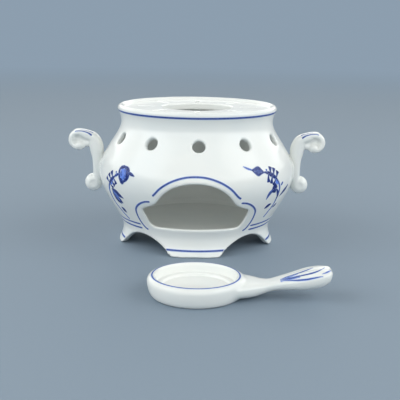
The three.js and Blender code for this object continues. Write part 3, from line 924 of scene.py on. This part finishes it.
def plate_form(s):
    """Distance to the plate: a ring with rounded edges, thinner at its hole, with slots round it."""
    middle, half_width = PLATE_RADIUS - s.ring / 2, s.ring / 2
    top = PLATE_TOP + s.rise
    slot_middle = PLATE_RADIUS - s.slot_inset - s.slot_length / 2
    slot_straight = (s.slot_length - s.slot_width) / 2

    def field(points):
        x, y, z = points.T
        radius = np.hypot(x, y)
        inner_share = np.clip((middle + THINNED_OVER / 2 - radius) / THINNED_OVER, 0, 1)
        bottom = PLATE_BOTTOM + s.thinned * inner_share
        across = np.abs(radius - middle) - half_width + s.edge
        up = np.abs(z - (top + bottom) / 2) - (top - bottom) / 2 + s.edge
        corner = np.hypot(np.maximum(across, 0), np.maximum(up, 0))
        solid = corner + np.minimum(np.maximum(across, up), 0) - s.edge
        out, aside = fold(x, y, s.slots)
        slot = np.hypot(np.maximum(np.abs(out - slot_middle) - slot_straight, 0), aside) - s.slot_width / 2
        return smooth_max(solid, -slot, SLOT_LIP)
    return field


BELLY_TO_CURL = 18.2  # height of the curl's middle above the belly's widest place
CURL_START, CURL_STEP, CURL_ROWS = 135, 27.9, 8  # degrees round the curl, and the rows along it


def scroll_spine(s):
    """Rows of x, z, half thickness and half width: from the lower scroll end up round the curl."""
    reach = s.curl_radius + s.bar_thickness / 2
    curl_x, curl_z = SCROLL_HIGH[0] - WARMER_AXIS[0] - reach, SCROLL_HIGH[2] - reach
    ball_x, ball_z = BELLY_RADIUS + s.ball_out, SCROLL_LOW[2] + s.ball_radius
    half, wide, stem = s.bar_thickness / 2, s.bar_width / 2, s.stem_thickness / 2
    stem_x, belly_z = BELLY_RADIUS + s.stem_out, curl_z - BELLY_TO_CURL
    up = [(ball_x - 1, ball_z, 4, wide), (stem_x, ball_z + 5, stem + 0.3, wide),
          (stem_x, belly_z - 4, stem, wide), (stem_x + 0.1, belly_z + 4.5, stem + 0.4, wide),
          (stem_x + 0.3, belly_z + 11, stem + 1.8, wide), (stem_x + 1.2, belly_z + 16, stem + 1.7, wide),
          (stem_x + 3.2, belly_z + 20, stem + 0.6, wide)]
    over = []
    for k in range(CURL_ROWS):
        angle = math.radians(CURL_START - CURL_STEP * k)
        thick = half + 0.5 if k == 0 else half * (1 - 0.05 * min(k, 4))
        spread = reach - 0.6 * math.sin(angle) ** 2 - thick + (0.8 if k == 0 else 0)
        over.append((curl_x + spread * math.cos(angle), curl_z + spread * math.sin(angle), thick, wide))
    tip = [(curl_x + 0.2, curl_z - 4.2, s.knob_radius - 0.4, wide - 0.6)]
    return (curl_x, curl_z), (ball_x, ball_z), through(up + over + tip, 5)


def bar_distance(points, spine):
    """Distance to a bar of oval section whose spine lies in the plane of x and z."""
    x, y, z = points.T
    best = np.full(len(points), np.inf)
    off, thick, wide = (np.zeros(len(points)) for _ in range(3))
    for start, end in zip(spine[:-1], spine[1:]):
        edge = end - start
        share = ((x - start[0]) * edge[0] + (z - start[1]) * edge[1]) / (edge[0] ** 2 + edge[1] ** 2)
        share = np.clip(share, 0, 1)
        away = np.hypot(x - start[0] - share * edge[0], z - start[1] - share * edge[1])
        half = start[2] + share * edge[2]
        nearer = away - half < best
        best = np.where(nearer, away - half, best)
        off, thick = np.where(nearer, away, off), np.where(nearer, half, thick)
        wide = np.where(nearer, start[3] + share * edge[3], wide)
    return oval(off, y, thick, wide, 2.5)


def scroll_form(s):
    """Right handle: a bar that curls over, with a knob at its tip, a web and a ball at its foot."""
    (curl_x, curl_z), (ball_x, ball_z), spine = scroll_spine(s)
    split = len(spine) * 10 // 16  # the stem ends and the curl begins here
    wide = s.bar_width / 2
    mouth = (curl_x - 4.9, curl_z - 3.0, 2.4, s.web / 2 + 0.8)
    knob = (curl_x + 0.1, curl_z - 4.1, s.knob_radius, wide)
    foot = (ball_x, ball_z, s.ball_radius, wide + 0.8)
    eye_radius = 3  # of the dish in each side of the lower ball

    def ball(points, x, z, radius, half_width):
        return oval(np.hypot(points[:, 0] - x, points[:, 2] - z), points[:, 1], radius, half_width, 2.2)

    def field(points):
        rising, curling = bar_distance(points, spine[:split + 1]), bar_distance(points, spine[split:])
        solid = smooth_min(rising, curling, 0.8)
        around = np.hypot(points[:, 0] - curl_x, points[:, 2] - curl_z)
        web = smooth_max(around - s.curl_radius, np.abs(points[:, 1]) - s.web / 2, 0.5)
        solid = smooth_min(solid, web, 2.4)
        solid = smooth_min(solid, ball(points, *mouth), 1.8)
        solid = smooth_min(solid, ball(points, *knob), 1.4)
        eye = np.sqrt((points[:, 0] - ball_x) ** 2 + (points[:, 2] - ball_z) ** 2
                      + (np.abs(points[:, 1]) - wide - eye_radius) ** 2)
        dished = smooth_max(ball(points, *foot), eye_radius - eye, 1.6)
        return smooth_min(solid, dished, 0.7)
    return field


def pan_profile(s):
    """Half section of the pan from the middle of its base round to the middle of its floor."""
    base, rim = PAN_RADIUS - s.base_inset, PAN_RADIUS - s.rim_inset
    inside = rim - s.rim_width / 2
    step = s.floor + s.seat_step
    bulge = (PAN_RADIUS, s.bulge_height)
    foot = bezier((base - 1.2, 0), (base + 0.6, 0), (base + 1, 0.3), (base + 1.5, 0.9), 6)
    lower = bezier(foot[-1], (PAN_RADIUS - 1, 2.2), (PAN_RADIUS, s.bulge_height - 2), bulge, 14)
    upper = bezier(bulge, (PAN_RADIUS, s.bulge_height + 3), (rim + s.rim_width / 2, PAN_HEIGHT),
                   (rim, PAN_HEIGHT), 20)
    seat = s.seat_radius
    inner = bezier((rim, PAN_HEIGHT), (inside, PAN_HEIGHT), (inside, step + 1.6), (seat + 3, step + 0.2), 22)
    edge = np.vstack([bezier(inner[-1], (seat + 1.6, step), (seat + 0.7, step), (seat + 0.4, step - 0.5), 8),
                      bezier((seat + 0.4, step - 0.5), (seat + 0.1, step - 1), (seat, s.floor),
                             (seat - 1, s.floor), 8)[1:]])
    flat = [(r, s.floor) for r in np.linspace(seat - 1, 0, 9)[1:]]
    under = [(r, 0) for r in np.linspace(0, base - 1.2, 9)[:-1]]
    return np.vstack([under, foot, lower[1:], upper[1:], inner[1:], edge[1:], flat])


def pan_form(s):
    """Distance to the pan's outside, as if the pan were full."""
    profile = pan_profile(s)
    crest = profile[:, 1].argmax()
    closed = np.vstack([[(PAST_AXIS, 0)], profile[1:crest + 1], [(PAST_AXIS, PAN_HEIGHT)]])
    section = FlatField(lambda points: outline_distance(points, closed),
                        (0, BELOW), (PAN_RADIUS + 12, PAN_HEIGHT + 8), 0.2)
    return lambda points: section(np.hypot(points[:, 0], points[:, 1]), points[:, 2])


FLUTES, FLUTE_FAN = 4, 0.9  # flutes in the broad end, and the angle in radians over which they fan out
FAN_START = 0.2  # where the flutes' fan has its point, as a share of the handle's length
FLUTED_FROM, FLUTED_OVER = 0.4, 0.3  # where the flutes begin, and over what share they deepen


def grip_rows(s):
    """Rows of share of the length, half width, underside and top along the pan's handle."""
    neck, shell, tip = s.grip_neck, s.grip_shell, s.grip_height
    rows = [(-0.2, neck + 11.6, 0.4, 10.6), (-0.08, neck + 9.4, 0.4, 10.6), (0.03, neck + 6.6, 0.5, 10.5),
            (0.11, neck + 4, 1, 10.2), (0.18, neck + 1.9, 2, 9.8), (0.27, neck, 3.6, tip - 8.6),
            (0.39, neck + 0.8, 5, tip - 6.9),
            (0.54, shell - 2, 5.6, tip - 4.5), (0.69, shell - 0.1, 6, tip - 2.1),
            (0.84, shell - 0.2, 7.4, tip - 0.3), (0.94, shell - 2.6, 9.8, tip),
            (0.985, shell - 6.2, 12.2, tip - 0.7), (1, shell - 9.2, 14, tip - 1.8)]
    return through(rows, 6)


def grip_place(s, share, aside):
    """Point on top of the pan's handle, around the pan's axis."""
    rows = grip_rows(s)
    half, low, high = (np.interp(share, rows[:, 0], rows[:, k]) for k in (1, 2, 3))
    out = PAN_RADIUS + share * s.grip_length
    level = low + s.grip_level * (high - low)
    up = level + (high - level) * np.sqrt(np.clip(1 - (aside / half) ** 2, 0, 1))
    cos, sin = math.cos(s.grip_turn), math.sin(s.grip_turn)
    return np.array([out * cos - aside * sin, out * sin + aside * cos, up])


def grip_form(s):
    """Distance to the pan's handle, with flutes in the top of its broad end."""
    rows = grip_rows(s)
    cos, sin = math.cos(s.grip_turn), math.sin(s.grip_turn)

    def field(points):
        x, y, z = points.T
        out, aside = x * cos + y * sin, y * cos - x * sin
        share = (out - PAN_RADIUS) / s.grip_length
        half, low, high = (np.interp(share, rows[:, 0], rows[:, k]) for k in (1, 2, 3))
        spread = np.arctan2(aside, (share - FAN_START) * s.grip_length)
        flute = 0.5 + 0.5 * np.cos(2 * np.pi * FLUTES * spread / FLUTE_FAN)
        high = high - s.flute_depth * flute * np.clip((share - FLUTED_FROM) / FLUTED_OVER, 0, 1)
        level = low + s.grip_level * (high - low)
        solid = oval(aside, z - level, half, np.where(z > level, high - level, level - low), 2.4)
        return smooth_max(solid, (share - 1) * s.grip_length, 2.5)
    return field


# Painted decoration: azimuth in degrees from the front, to the right, and height in millimetres
def on_body(rows, s):
    """Points in metres on the body's outside for rows of azimuth and height."""
    azimuth, height = np.radians([r[0] for r in rows]), np.array([r[1] for r in rows], float)
    outer = outer_wall(s)
    radius = np.interp(height, outer[:, 1], outer[:, 0])
    local = np.stack([radius * np.sin(azimuth), -radius * np.cos(azimuth), height], 1)
    return (local + WARMER_AXIS) * MM


# Width of each kind of stroke as a share of its full width, for shares t of its way
SWELL = {
    "line": lambda t: np.where((t == 0) | (t == 1), 0.35, 1.0),
    "ring": np.ones_like,
    "leaf": lambda t: np.clip(np.sin(np.pi * t) ** 0.8, 0.12, 1),
    "drop": lambda t: np.clip(0.2 + 0.95 * t ** 1.4, 0, 1) * np.where(t == 1, 0.45, 1),
    "bud": lambda t: np.clip(np.sin(np.pi * t) ** 1.5, 0.1, 1),
}
LINE_INK = 0.75


def stroke(kind, points, width, ink=LINE_INK):
    """A chain for the brush: points, half widths, ink, and whether it closes on itself."""
    return points, width / 2 * SWELL[kind](np.linspace(0, 1, len(points))), ink, kind == "ring"


# Each stroke of a spray: kind, width, ink, then azimuth and height of its points
FLOWER_SPRAY = [
    ("leaf", 2.8, 0.08, [(-53.2, 52.2), (-55.2, 49.7), (-57.2, 47)]),
    ("leaf", 5.6, 0.08, [(-45.9, 61.4), (-45.7, 57), (-44.9, 52)]),
    ("line", 2.2, 0.4, [(-44.2, 60.6), (-43.5, 59.4), (-42.8, 57.5), (-43.1, 55.4), (-44, 53.4)]),
    ("leaf", 2.6, 0.55, [(-46.9, 58.8), (-46.3, 57), (-45.7, 55.4)]),
    ("line", 1.7, 0.95, [(-44.7, 62.2), (-47.3, 61.2), (-48.4, 59.1), (-48.1, 56.6), (-47.3, 53.8),
                         (-46, 51.8), (-44.3, 50.9)]),
    ("leaf", 4.8, 1, [(-46, 62.2), (-42.9, 60.9), (-41.8, 59.1), (-41.5, 57), (-41.9, 54.3), (-44.8, 50.8)]),
    ("leaf", 2.8, 1, [(-47.9, 60), (-46.3, 61.2), (-44, 61.6)]),
    ("drop", 2.4, 1, [(-43.3, 60), (-42.3, 60.6), (-41.4, 60.6)]),
    ("drop", 2.4, 1, [(-42.5, 54.6), (-41.7, 54.6), (-40.9, 55)]),
    ("leaf", 3.8, 1, [(-47.1, 54), (-45.3, 51.9), (-43.3, 52)]),
    ("leaf", 2.2, 0.95, [(-42, 58.4), (-39.2, 58), (-35.9, 56.7)]),
    ("leaf", 1.9, 0.85, [(-48, 56.8), (-50.3, 55.5), (-52.8, 53.7)]),
    ("drop", 1.2, 0.7, [(-50.7, 55.8), (-51.3, 57.9)]),
    ("line", 1.6, 0.55, [(-58.4, 47.8), (-60.9, 43.4), (-61.7, 39.9), (-61.8, 35.2), (-61, 31.8),
                         (-59.6, 29.5), (-57.9, 26.9), (-56, 24.6), (-53.4, 21.8)]),
    ("leaf", 2.6, 0.95, [(-51.3, 54.6), (-54.4, 52.3), (-57.1, 49.5), (-59.6, 45.6)]),
    ("drop", 3, 1, [(-54, 52.6), (-54.9, 55), (-56.1, 57.2)]),
    ("drop", 3, 1, [(-56.1, 51.4), (-57.5, 53.3), (-58.8, 55)]),
    ("drop", 3, 1, [(-58.4, 48.6), (-59.9, 50.4), (-61.6, 52)]),
    ("drop", 3, 1, [(-53, 52.6), (-51.6, 50.7), (-50.8, 48.7)]),
    ("drop", 3, 1, [(-55, 50.6), (-53.8, 48.7), (-52.5, 47.3)]),
    ("drop", 2.8, 1, [(-57.4, 47.6), (-56.1, 46.3), (-54.7, 45.2)]),
    ("leaf", 5, 0.2, [(-56.6, 43.4), (-53.9, 39.6), (-52, 35.6)]),
    ("leaf", 1.8, 0.6, [(-55.5, 41.2), (-54.3, 39), (-53.3, 37)]),
    ("leaf", 4, 1, [(-57.3, 44.4), (-53.5, 43), (-50.9, 41.1), (-47.3, 39.2)]),
    ("leaf", 2.7, 1, [(-57.1, 43.8), (-56.8, 39.7), (-55.7, 36.8), (-53.8, 35.2), (-51.6, 34.2)]),
    ("drop", 4.4, 1, [(-52.5, 39), (-51.6, 37), (-52, 35)]),
    ("leaf", 3.6, 1, [(-55.5, 31), (-53.8, 29.3), (-51.8, 27.3)]),
]
BUD_SPRAY = [
    ("leaf", 2.6, 0.02, [(49.2, 54.6), (51, 52.4), (52.4, 50)]),
    ("leaf", 1.2, 0.5, [(34.9, 61.6), (30.8, 63.3), (27.7, 65)]),
    ("bud", 6.6, 0.95, [(32, 62.6), (34.9, 61.8), (37.4, 61.2), (39.5, 60.6), (42.3, 59.6)]),
    ("bud", 2.8, 0.78, [(34.3, 61.9), (37.4, 61.2), (40.5, 60.3)]),
    ("line", 1.4, 0.6, [(56.1, 42.6), (56.3, 37.8), (56.2, 34.3), (55.3, 31), (54.1, 28), (53, 24.9)]),
    ("line", 1.5, 0.6, [(51, 54.2), (53.3, 51.2), (54.7, 48.6), (55.6, 46), (55.9, 43.4), (55.9, 41.4)]),
    ("leaf", 3.2, 1, [(40.9, 60.3), (44.4, 59.2), (46.9, 57.8), (49.9, 55.5), (53, 52)]),
    ("drop", 1.4, 0.7, [(43.3, 59.6), (43.8, 61.9)]),
    ("drop", 3.3, 1, [(46.7, 58.2), (46.8, 60.7), (47.5, 63)]),
    ("drop", 3.3, 1, [(48.8, 56.8), (49.5, 59.5), (50.4, 61.8)]),
    ("drop", 3.3, 1, [(50.9, 54.8), (52.1, 57.3), (53.3, 59.3)]),
    ("drop", 3.2, 1, [(44.6, 58.8), (44, 55.7), (44.1, 52.9)]),
    ("drop", 3.1, 1, [(47.6, 57.2), (46.8, 54.4), (46.3, 51.7)]),
    ("drop", 2.7, 1, [(50.6, 54.4), (49.1, 52.2), (48, 50.2)]),
    ("leaf", 6, 1, [(49.7, 51.6), (49.9, 48.8), (50.4, 46.6), (51.7, 44.4)]),
    ("leaf", 3.2, 1, [(50.8, 47.2), (48.6, 46.4), (46.8, 45.2)]),
    ("leaf", 2.9, 0.7, [(49.4, 47.2), (47.5, 45.7), (46, 43.8), (45, 40.2)]),
    ("leaf", 2.4, 0.95, [(51.2, 47.6), (54.2, 44.4), (56, 41.2), (55.5, 37)]),
    ("leaf", 3.4, 1, [(67, 47.6), (64.8, 44.9), (62.1, 43.1), (58.5, 40)]),
    ("leaf", 1.8, 0.7, [(58.3, 51), (57.2, 49.8), (56.1, 48.8)]),
    ("leaf", 3.2, 1, [(52.8, 35.6), (49.9, 34.6), (47.4, 32.9)]),
    ("leaf", 2.4, 0.95, [(60.6, 34.8), (59.3, 33.3), (57, 31.8)]),
]
# Stripes on the pan's handle: kind, width, ink, then share of its length and distance to the side
PAN_STRIPES = [
    ("drop", 2.2, 0.35, [(0.6, -2.2), (0.5, -3), (0.4, -3.6)]),
    ("drop", 2.2, 0.35, [(0.62, -4.6), (0.5, -4.4), (0.4, -4.4)]),
    ("drop", 2.2, 0.35, [(0.62, -7.6), (0.5, -6.2), (0.4, -5.2)]),
    ("leaf", 1.7, 0.7, [(0.4, -3), (0.48, -1.6), (0.55, -1), (0.62, -0.2), (0.7, 1.2), (0.78, 2.8)]),
    ("leaf", 1.9, 0.8, [(0.4, -4), (0.48, -5), (0.55, -5.6), (0.65, -5.8), (0.75, -5.7), (0.84, -3.9),
                        (0.91, 1.5)]),
    ("leaf", 1.1, 0.65, [(0.4, -5.2), (0.5, -7.4), (0.6, -9.6), (0.69, -10.9), (0.79, -11.1),
                         (0.87, -10.6)]),
    ("leaf", 0.9, 0.5, [(0.86, -8.6), (0.92, -6.6), (0.98, -2.8)]),
]
# Lines on a curl: share of the bar's width, then x and z from the middle of the curl
CURL_LINES = [(-0.26, [(-1, 7.9), (-4, 7.8), (-7.2, 6.9), (-9.9, 5)]),
              (-0.45, [(2.8, 5.9), (1.2, 6.5), (-2.4, 6.6), (-6.2, 5.5), (-9.2, 3.4)])]
CURL_LINE_WIDTH, CURL_INK = 0.8, 0.85  # width as a share of the other lines'
PAN_RIM_INK = 0.7
RIM_LINE_WIDTH = 1.1  # the line below the rim, as a share of the other lines'
ARCH_LINE = [(-24.4, 44.8), (-22.6, 46.9), (-19.5, 50.7), (-14.9, 54.6), (-10.2, 57.2), (-5.3, 58.8),
             (0, 59.3), (5.3, 58.8), (10.2, 57.2), (14.9, 54.6), (19.5, 50.7), (23.7, 45.5), (26, 43.5)]
HOOK_LINE = [(26.9, 40.4), (31.2, 39.5), (36, 36.6), (39.6, 32.5), (40.8, 27.5), (40.5, 22.7), (38.7, 18.8),
             (36.2, 17)]
FEET_LINES_FROM = 42  # degrees from the front where the two lines above the feet end at the opening
FEET = 4
FOOT_HALF = 22  # degrees from the middle of a foot to the ends of its line


def spray_chains(strokes, s, turn):
    """The strokes of a spray on the body, turned round its axis by some degrees."""
    chains = []
    for kind, width, ink, rows in strokes:
        placed = [(azimuth + turn, height) for azimuth, height in rows]
        chains.append(stroke(kind, on_body(through(placed, 8), s), width * MM, ink))
    return chains


def ring_chain(radius, height, axis, width, steps=240, ink=LINE_INK):
    """A closed line round an axis."""
    angle = np.linspace(0, 2 * np.pi, steps, endpoint=False)
    local = np.stack([radius * np.cos(angle), radius * np.sin(angle), np.full(steps, height)], 1)
    return stroke("ring", (local + axis) * MM, width, ink)


# Operators
class WARMER_OT_body(bpy.types.Operator):
    """Builds the bellied body with its opening, vents and feet"""
    bl_idname = "warmer.body"
    bl_label = "Body"

    def execute(self, context):
        s = in_millimetres(context.scene.warmer_body)
        low, high = BODY_LOW - WARMER_AXIS, BODY_HIGH - WARMER_AXIS
        porcelain_piece("porcelain_body", skin(body_form(s), low, high, s.fineness),
                        WARMER_AXIS, "warmer", "warmer_body")
        return {"FINISHED"}


class WARMER_OT_top_plate(bpy.types.Operator):
    """Builds the pierced plate inside the rim"""
    bl_idname = "warmer.top_plate"
    bl_label = "Top plate"

    def execute(self, context):
        s = in_millimetres(context.scene.warmer_plate)
        host = body_form(in_millimetres(context.scene.warmer_body))
        low, high = PLATE_LOW - WARMER_AXIS - 3, PLATE_HIGH - WARMER_AXIS + 3
        field = luted(plate_form(s), host, s.fillet)
        porcelain_piece("porcelain_top_plate", skin(field, low, high, s.fineness),
                        WARMER_AXIS, "warmer", "top_plate")
        return {"FINISHED"}


HANDLE_TUCK = 0.01  # how far the handles' edge ends under the body's surface


class WARMER_OT_handles(bpy.types.Operator):
    """Builds the two scroll handles and the lines painted on their curls"""
    bl_idname = "warmer.handles"
    bl_label = "Scroll handles"

    def execute(self, context):
        s = in_millimetres(context.scene.warmer_handle)
        host = body_form(in_millimetres(context.scene.warmer_body))
        spread = s.fillet + 1
        low, high = SCROLL_LOW - WARMER_AXIS - spread, SCROLL_HIGH - WARMER_AXIS + (0, spread, 0)
        field = luted(scroll_form(s), host, s.fillet, HANDLE_TUCK)
        points, faces, normals = skin(field, low, high, s.fineness)
        width = CURL_LINE_WIDTH * context.scene.warmer_paint.line_width
        (curl_x, curl_z), _, _ = scroll_spine(s)
        for side, name in ((1, "right"), (-1, "left")):
            flip = np.array([side, 1, 1])
            surface = points * flip, faces[:, ::side], normals * flip
            piece = porcelain_piece("porcelain_handle_" + name, surface, WARMER_AXIS,
                                    "warmer", "handle_" + name)
            chains = []
            for aside, rows in CURL_LINES:
                rows = through(rows, 6)
                local = np.stack([side * (curl_x + rows[:, 0]), np.full(len(rows), aside * s.bar_width),
                                  curl_z + rows[:, 1]], 1)
                chains.append(stroke("drop", (local + WARMER_AXIS) * MM, width, CURL_INK))
            painted("painted_handle_" + name, chains, piece, "warmer")
        return {"FINISHED"}


class WARMER_OT_candle_pan(bpy.types.Operator):
    """Turns the candle pan and paints its rim line"""
    bl_idname = "warmer.candle_pan"
    bl_label = "Candle pan"

    def execute(self, context):
        s = in_millimetres(context.scene.warmer_pan)
        piece = grown("porcelain_candle_pan", profile_mesh("pan_profile", pan_profile(s) * MM),
                      turned_form(), {"Facets": s.facets, "Material": glazed_porcelain()})
        piece.data.transform(Matrix.Translation(PAN_AXIS * MM))
        settle_piece(piece, "pan", "candle_pan")
        line = ring_chain(PAN_RADIUS - s.rim_inset + s.line_out, PAN_HEIGHT, PAN_AXIS,
                          s.line_width * MM, s.facets, PAN_RIM_INK)
        painted("painted_pan_rim", [line], piece, "pan")
        return {"FINISHED"}


ROOT_IN, ROOT_SPREAD = 14, 17  # how far the handle's root goes in from the pan's side and past its neck
CLEAR = 0.3  # from the root to the crest of the pan's rim, and from the handle to the table


class WARMER_OT_pan_handle(bpy.types.Operator):
    """Builds the pan's handle and paints the stripes on its broad end"""
    bl_idname = "warmer.pan_handle"
    bl_label = "Pan handle"

    def execute(self, context):
        s = in_millimetres(context.scene.warmer_pan)
        joined = luted(grip_form(s), pan_form(s), s.fillet)
        crest = PAN_RADIUS - s.rim_inset

        def field(points):
            outside = crest + CLEAR - np.hypot(points[:, 0], points[:, 1])
            return smooth_max(smooth_max(joined(points), outside, 0.3), CLEAR - points[:, 2], 0.4)
        side = s.grip_neck + ROOT_SPREAD
        low, high = (PAN_RADIUS - ROOT_IN, -side, 0), (PAN_RADIUS + s.grip_length, side, s.grip_height)
        piece = porcelain_piece("porcelain_pan_handle", skin(field, low, high, s.fineness),
                                PAN_AXIS, "pan", "pan_handle")
        chains = []
        for kind, width, ink, rows in PAN_STRIPES:
            local = np.array([grip_place(s, share, aside) for share, aside in through(rows, 8)])
            chains.append(stroke(kind, (local + PAN_AXIS) * MM, width * MM, ink))
        painted("painted_pan_handle", chains, piece, "pan")
        return {"FINISHED"}


class WARMER_OT_painted_lines(bpy.types.Operator):
    """Paints the lines round the rim, the opening, the foot and the feet"""
    bl_idname = "warmer.painted_lines"
    bl_label = "Painted lines"

    def execute(self, context):
        s = in_millimetres(context.scene.warmer_body)
        paint = in_millimetres(context.scene.warmer_paint)
        width = context.scene.warmer_paint.line_width
        outer = outer_wall(s)
        rim = np.interp(paint.rim_line, outer[:, 1], outer[:, 0])
        chains = [ring_chain(rim, paint.rim_line, WARMER_AXIS, RIM_LINE_WIDTH * width)]
        courses = []
        for height in (paint.upper_line, paint.lower_line):
            turns = np.linspace(FEET_LINES_FROM, 360 - FEET_LINES_FROM, 220)
            courses.append([(azimuth, height) for azimuth in turns])
        for foot in range(FEET):
            turns = np.linspace(-FOOT_HALF, FOOT_HALF, 36)
            courses.append([(360 / FEET * foot + azimuth, paint.feet_line) for azimuth in turns])
        courses.append(through(ARCH_LINE, 6))
        for side in (1, -1):
            courses.append(through([(side * azimuth, height) for azimuth, height in HOOK_LINE], 8))
        chains.extend(stroke("line", on_body(rows, s), width) for rows in courses)
        painted("painted_lines", chains, bpy.data.objects["porcelain_body"], "warmer")
        return {"FINISHED"}


class WARMER_OT_painted_sprays(bpy.types.Operator):
    """Paints a flower spray and a bud spray beside each handle, at the front and at the back"""
    bl_idname = "warmer.painted_sprays"
    bl_label = "Painted sprays"

    def execute(self, context):
        s = in_millimetres(context.scene.warmer_body)
        surface = bpy.data.objects["porcelain_body"]
        for name, turn in (("front", 0), ("back", 180)):
            chains = spray_chains(FLOWER_SPRAY + BUD_SPRAY, s, turn)
            painted("painted_sprays_" + name, chains, surface, "warmer")
        return {"FINISHED"}


# The room, as a sky: heights are the Z of a direction, 0 level and 1 overhead
CLOTH_FADE = (0.14, 0.8)  # the low cloth fades into the ceiling
HEM_FADE, HEM_SHARE = (0.1, 0.36), 0.3  # towards its foot the low cloth is dimmer
ARCH_FADE = (0.65, 1.0)  # the arch fades into the ceiling
ARCH_SIDES, ARCH_SHARE = (0.1, 0.7), 0.75  # the arch fades towards the front and the back
ROOM_WHITE = (0.98, 1, 0.99)
LAMP_SIZE, LAMP_AIM = 0.9, (0, 0, 0.05)
LAMP_PLACES = {"key": (0, -0.95, 0.9), "left": (-0.95, -0.35, 0.8), "right": (0.95, -0.35, 0.8)}
SENSOR_WIDTH, FOCAL_LENGTH = 36, 75.436  # millimetres
CAMERA_PLACE = (0.00291, -0.60934, 0.16328)  # metres from the warmer's axis on the table
CAMERA_DOWN, CAMERA_ROLL = math.radians(12.456), math.radians(0.841)


class WARMER_OT_stage(bpy.types.Operator):
    """Sets up the floor with its backdrop, the lights and the camera"""
    bl_idname = "warmer.stage"
    bl_label = "Stage"

    def execute(self, context):
        stage = context.scene.warmer_stage
        level = [(r, 0) for r in np.linspace(0, stage.radius - stage.bend, 8)]
        turn = arc((stage.radius - stage.bend, stage.bend), stage.bend, stage.bend, -90, 0, 12)[1:]
        source = profile_mesh("stage_profile", [(stage.radius, stage.height), *turn[::-1], *level[::-1]])
        grown("backdrop", source, turned_form(), {"Facets": 96, "Material": stage_paper()})
        context.scene.world = self.room(stage)
        for name, place in LAMP_PLACES.items():
            self.light(name, stage.key if name == "key" else stage.sides, place)
        context.scene.view_settings.view_transform = "Standard"
        self.camera(context)
        return {"FINISHED"}

    def room(self, stage):
        """Lit cloth round the set under a dim ceiling, with an arch from side to side.

        The camera doesn't see it, but the floor's colour.
        """
        world = bpy.data.worlds.new("room")
        world.use_nodes = True
        tree = world.node_tree
        way = node(tree, "ShaderNodeTexCoord").outputs["Generated"]
        way = node(tree, "ShaderNodeSeparateXYZ", {0: way}).outputs
        low = ranged(tree, way["Z"], *CLOTH_FADE, stage.low_cloth, stage.ceiling, "SMOOTHSTEP")
        hem = ranged(tree, way["Z"], *HEM_FADE, HEM_SHARE, 1.0, "SMOOTHSTEP")
        low = maths(tree, "MULTIPLY", low, hem)
        arch = ranged(tree, way["Z"], *ARCH_FADE, stage.side_cloth, stage.ceiling, "SMOOTHSTEP")
        share = ranged(tree, maths(tree, "ABSOLUTE", way["Y"]), *ARCH_SIDES, ARCH_SHARE, 0.0)
        seen = seen_by_camera(tree)
        strength = blend(tree, share, low, arch, "FLOAT")
        strength = blend(tree, seen, strength, stage.beyond, "FLOAT")
        background = tree.nodes["Background"]
        tree.links.new(blend(tree, seen, opaque(ROOM_WHITE), opaque(stage.floor)), background.inputs["Color"])
        tree.links.new(strength, background.inputs["Strength"])
        return world

    def light(self, name, power, place):
        """A soft lamp that looks at the middle of the set."""
        lamp = bpy.data.lights.new(name, "AREA")
        lamp.energy, lamp.size = power, LAMP_SIZE
        obj = link(bpy.data.objects.new(name, lamp))
        obj.location = place
        obj.rotation_euler = (Vector(LAMP_AIM) - obj.location).to_track_quat("-Z", "Y").to_euler()

    def camera(self, context):
        """The photograph's viewing angle: from the front, a little above the rim, looking down."""
        lens = bpy.data.cameras.new("camera")
        lens.sensor_width, lens.lens, lens.sensor_fit = SENSOR_WIDTH, FOCAL_LENGTH, "HORIZONTAL"
        obj = link(bpy.data.objects.new("camera", lens))
        turn = Euler((math.pi / 2 - CAMERA_DOWN, 0, 0)).to_matrix() @ Matrix.Rotation(CAMERA_ROLL, 3, "Z")
        obj.matrix_world = Matrix.Translation(WARMER_AXIS * MM + CAMERA_PLACE) @ turn.to_4x4()
        context.scene.camera = obj


class WARMER_PT_panel(bpy.types.Panel):
    """Lists the pieces of the warmer"""
    bl_idname = "WARMER_PT_panel"
    bl_label = "Teapot warmer"
    bl_space_type = "VIEW_3D"
    bl_region_type = "UI"
    bl_category = "Warmer"

    def draw(self, context):
        for operator in OPERATORS:
            self.layout.operator(operator.bl_idname)
        for group in GROUPS:
            box = self.layout.box()
            settings = getattr(context.scene, group)
            for key in settings.bl_rna.properties.keys():
                if key not in ("rna_type", "name"):
                    box.prop(settings, key)


OPERATORS = (WARMER_OT_stage, WARMER_OT_body, WARMER_OT_top_plate, WARMER_OT_handles, WARMER_OT_candle_pan,
             WARMER_OT_pan_handle, WARMER_OT_painted_lines, WARMER_OT_painted_sprays)
GROUPS = {"warmer_body": WARMER_PG_body, "warmer_plate": WARMER_PG_plate, "warmer_handle": WARMER_PG_handle,
          "warmer_pan": WARMER_PG_pan, "warmer_paint": WARMER_PG_paint, "warmer_glaze": WARMER_PG_glaze,
          "warmer_stage": WARMER_PG_stage}


def register():
    for item in (*GROUPS.values(), *OPERATORS, WARMER_PT_panel):
        bpy.utils.register_class(item)
    for name, group in GROUPS.items():
        setattr(bpy.types.Scene, name, bpy.props.PointerProperty(type=group))


def unregister():
    for name in GROUPS:
        delattr(bpy.types.Scene, name)
    for item in (WARMER_PT_panel, *reversed(OPERATORS), *reversed(list(GROUPS.values()))):
        bpy.utils.unregister_class(item)


def main():
    register()
    for operator in OPERATORS:
        section, action = operator.bl_idname.split(".")
        getattr(getattr(bpy.ops, section), action)()


if __name__ == "__main__":
    main()
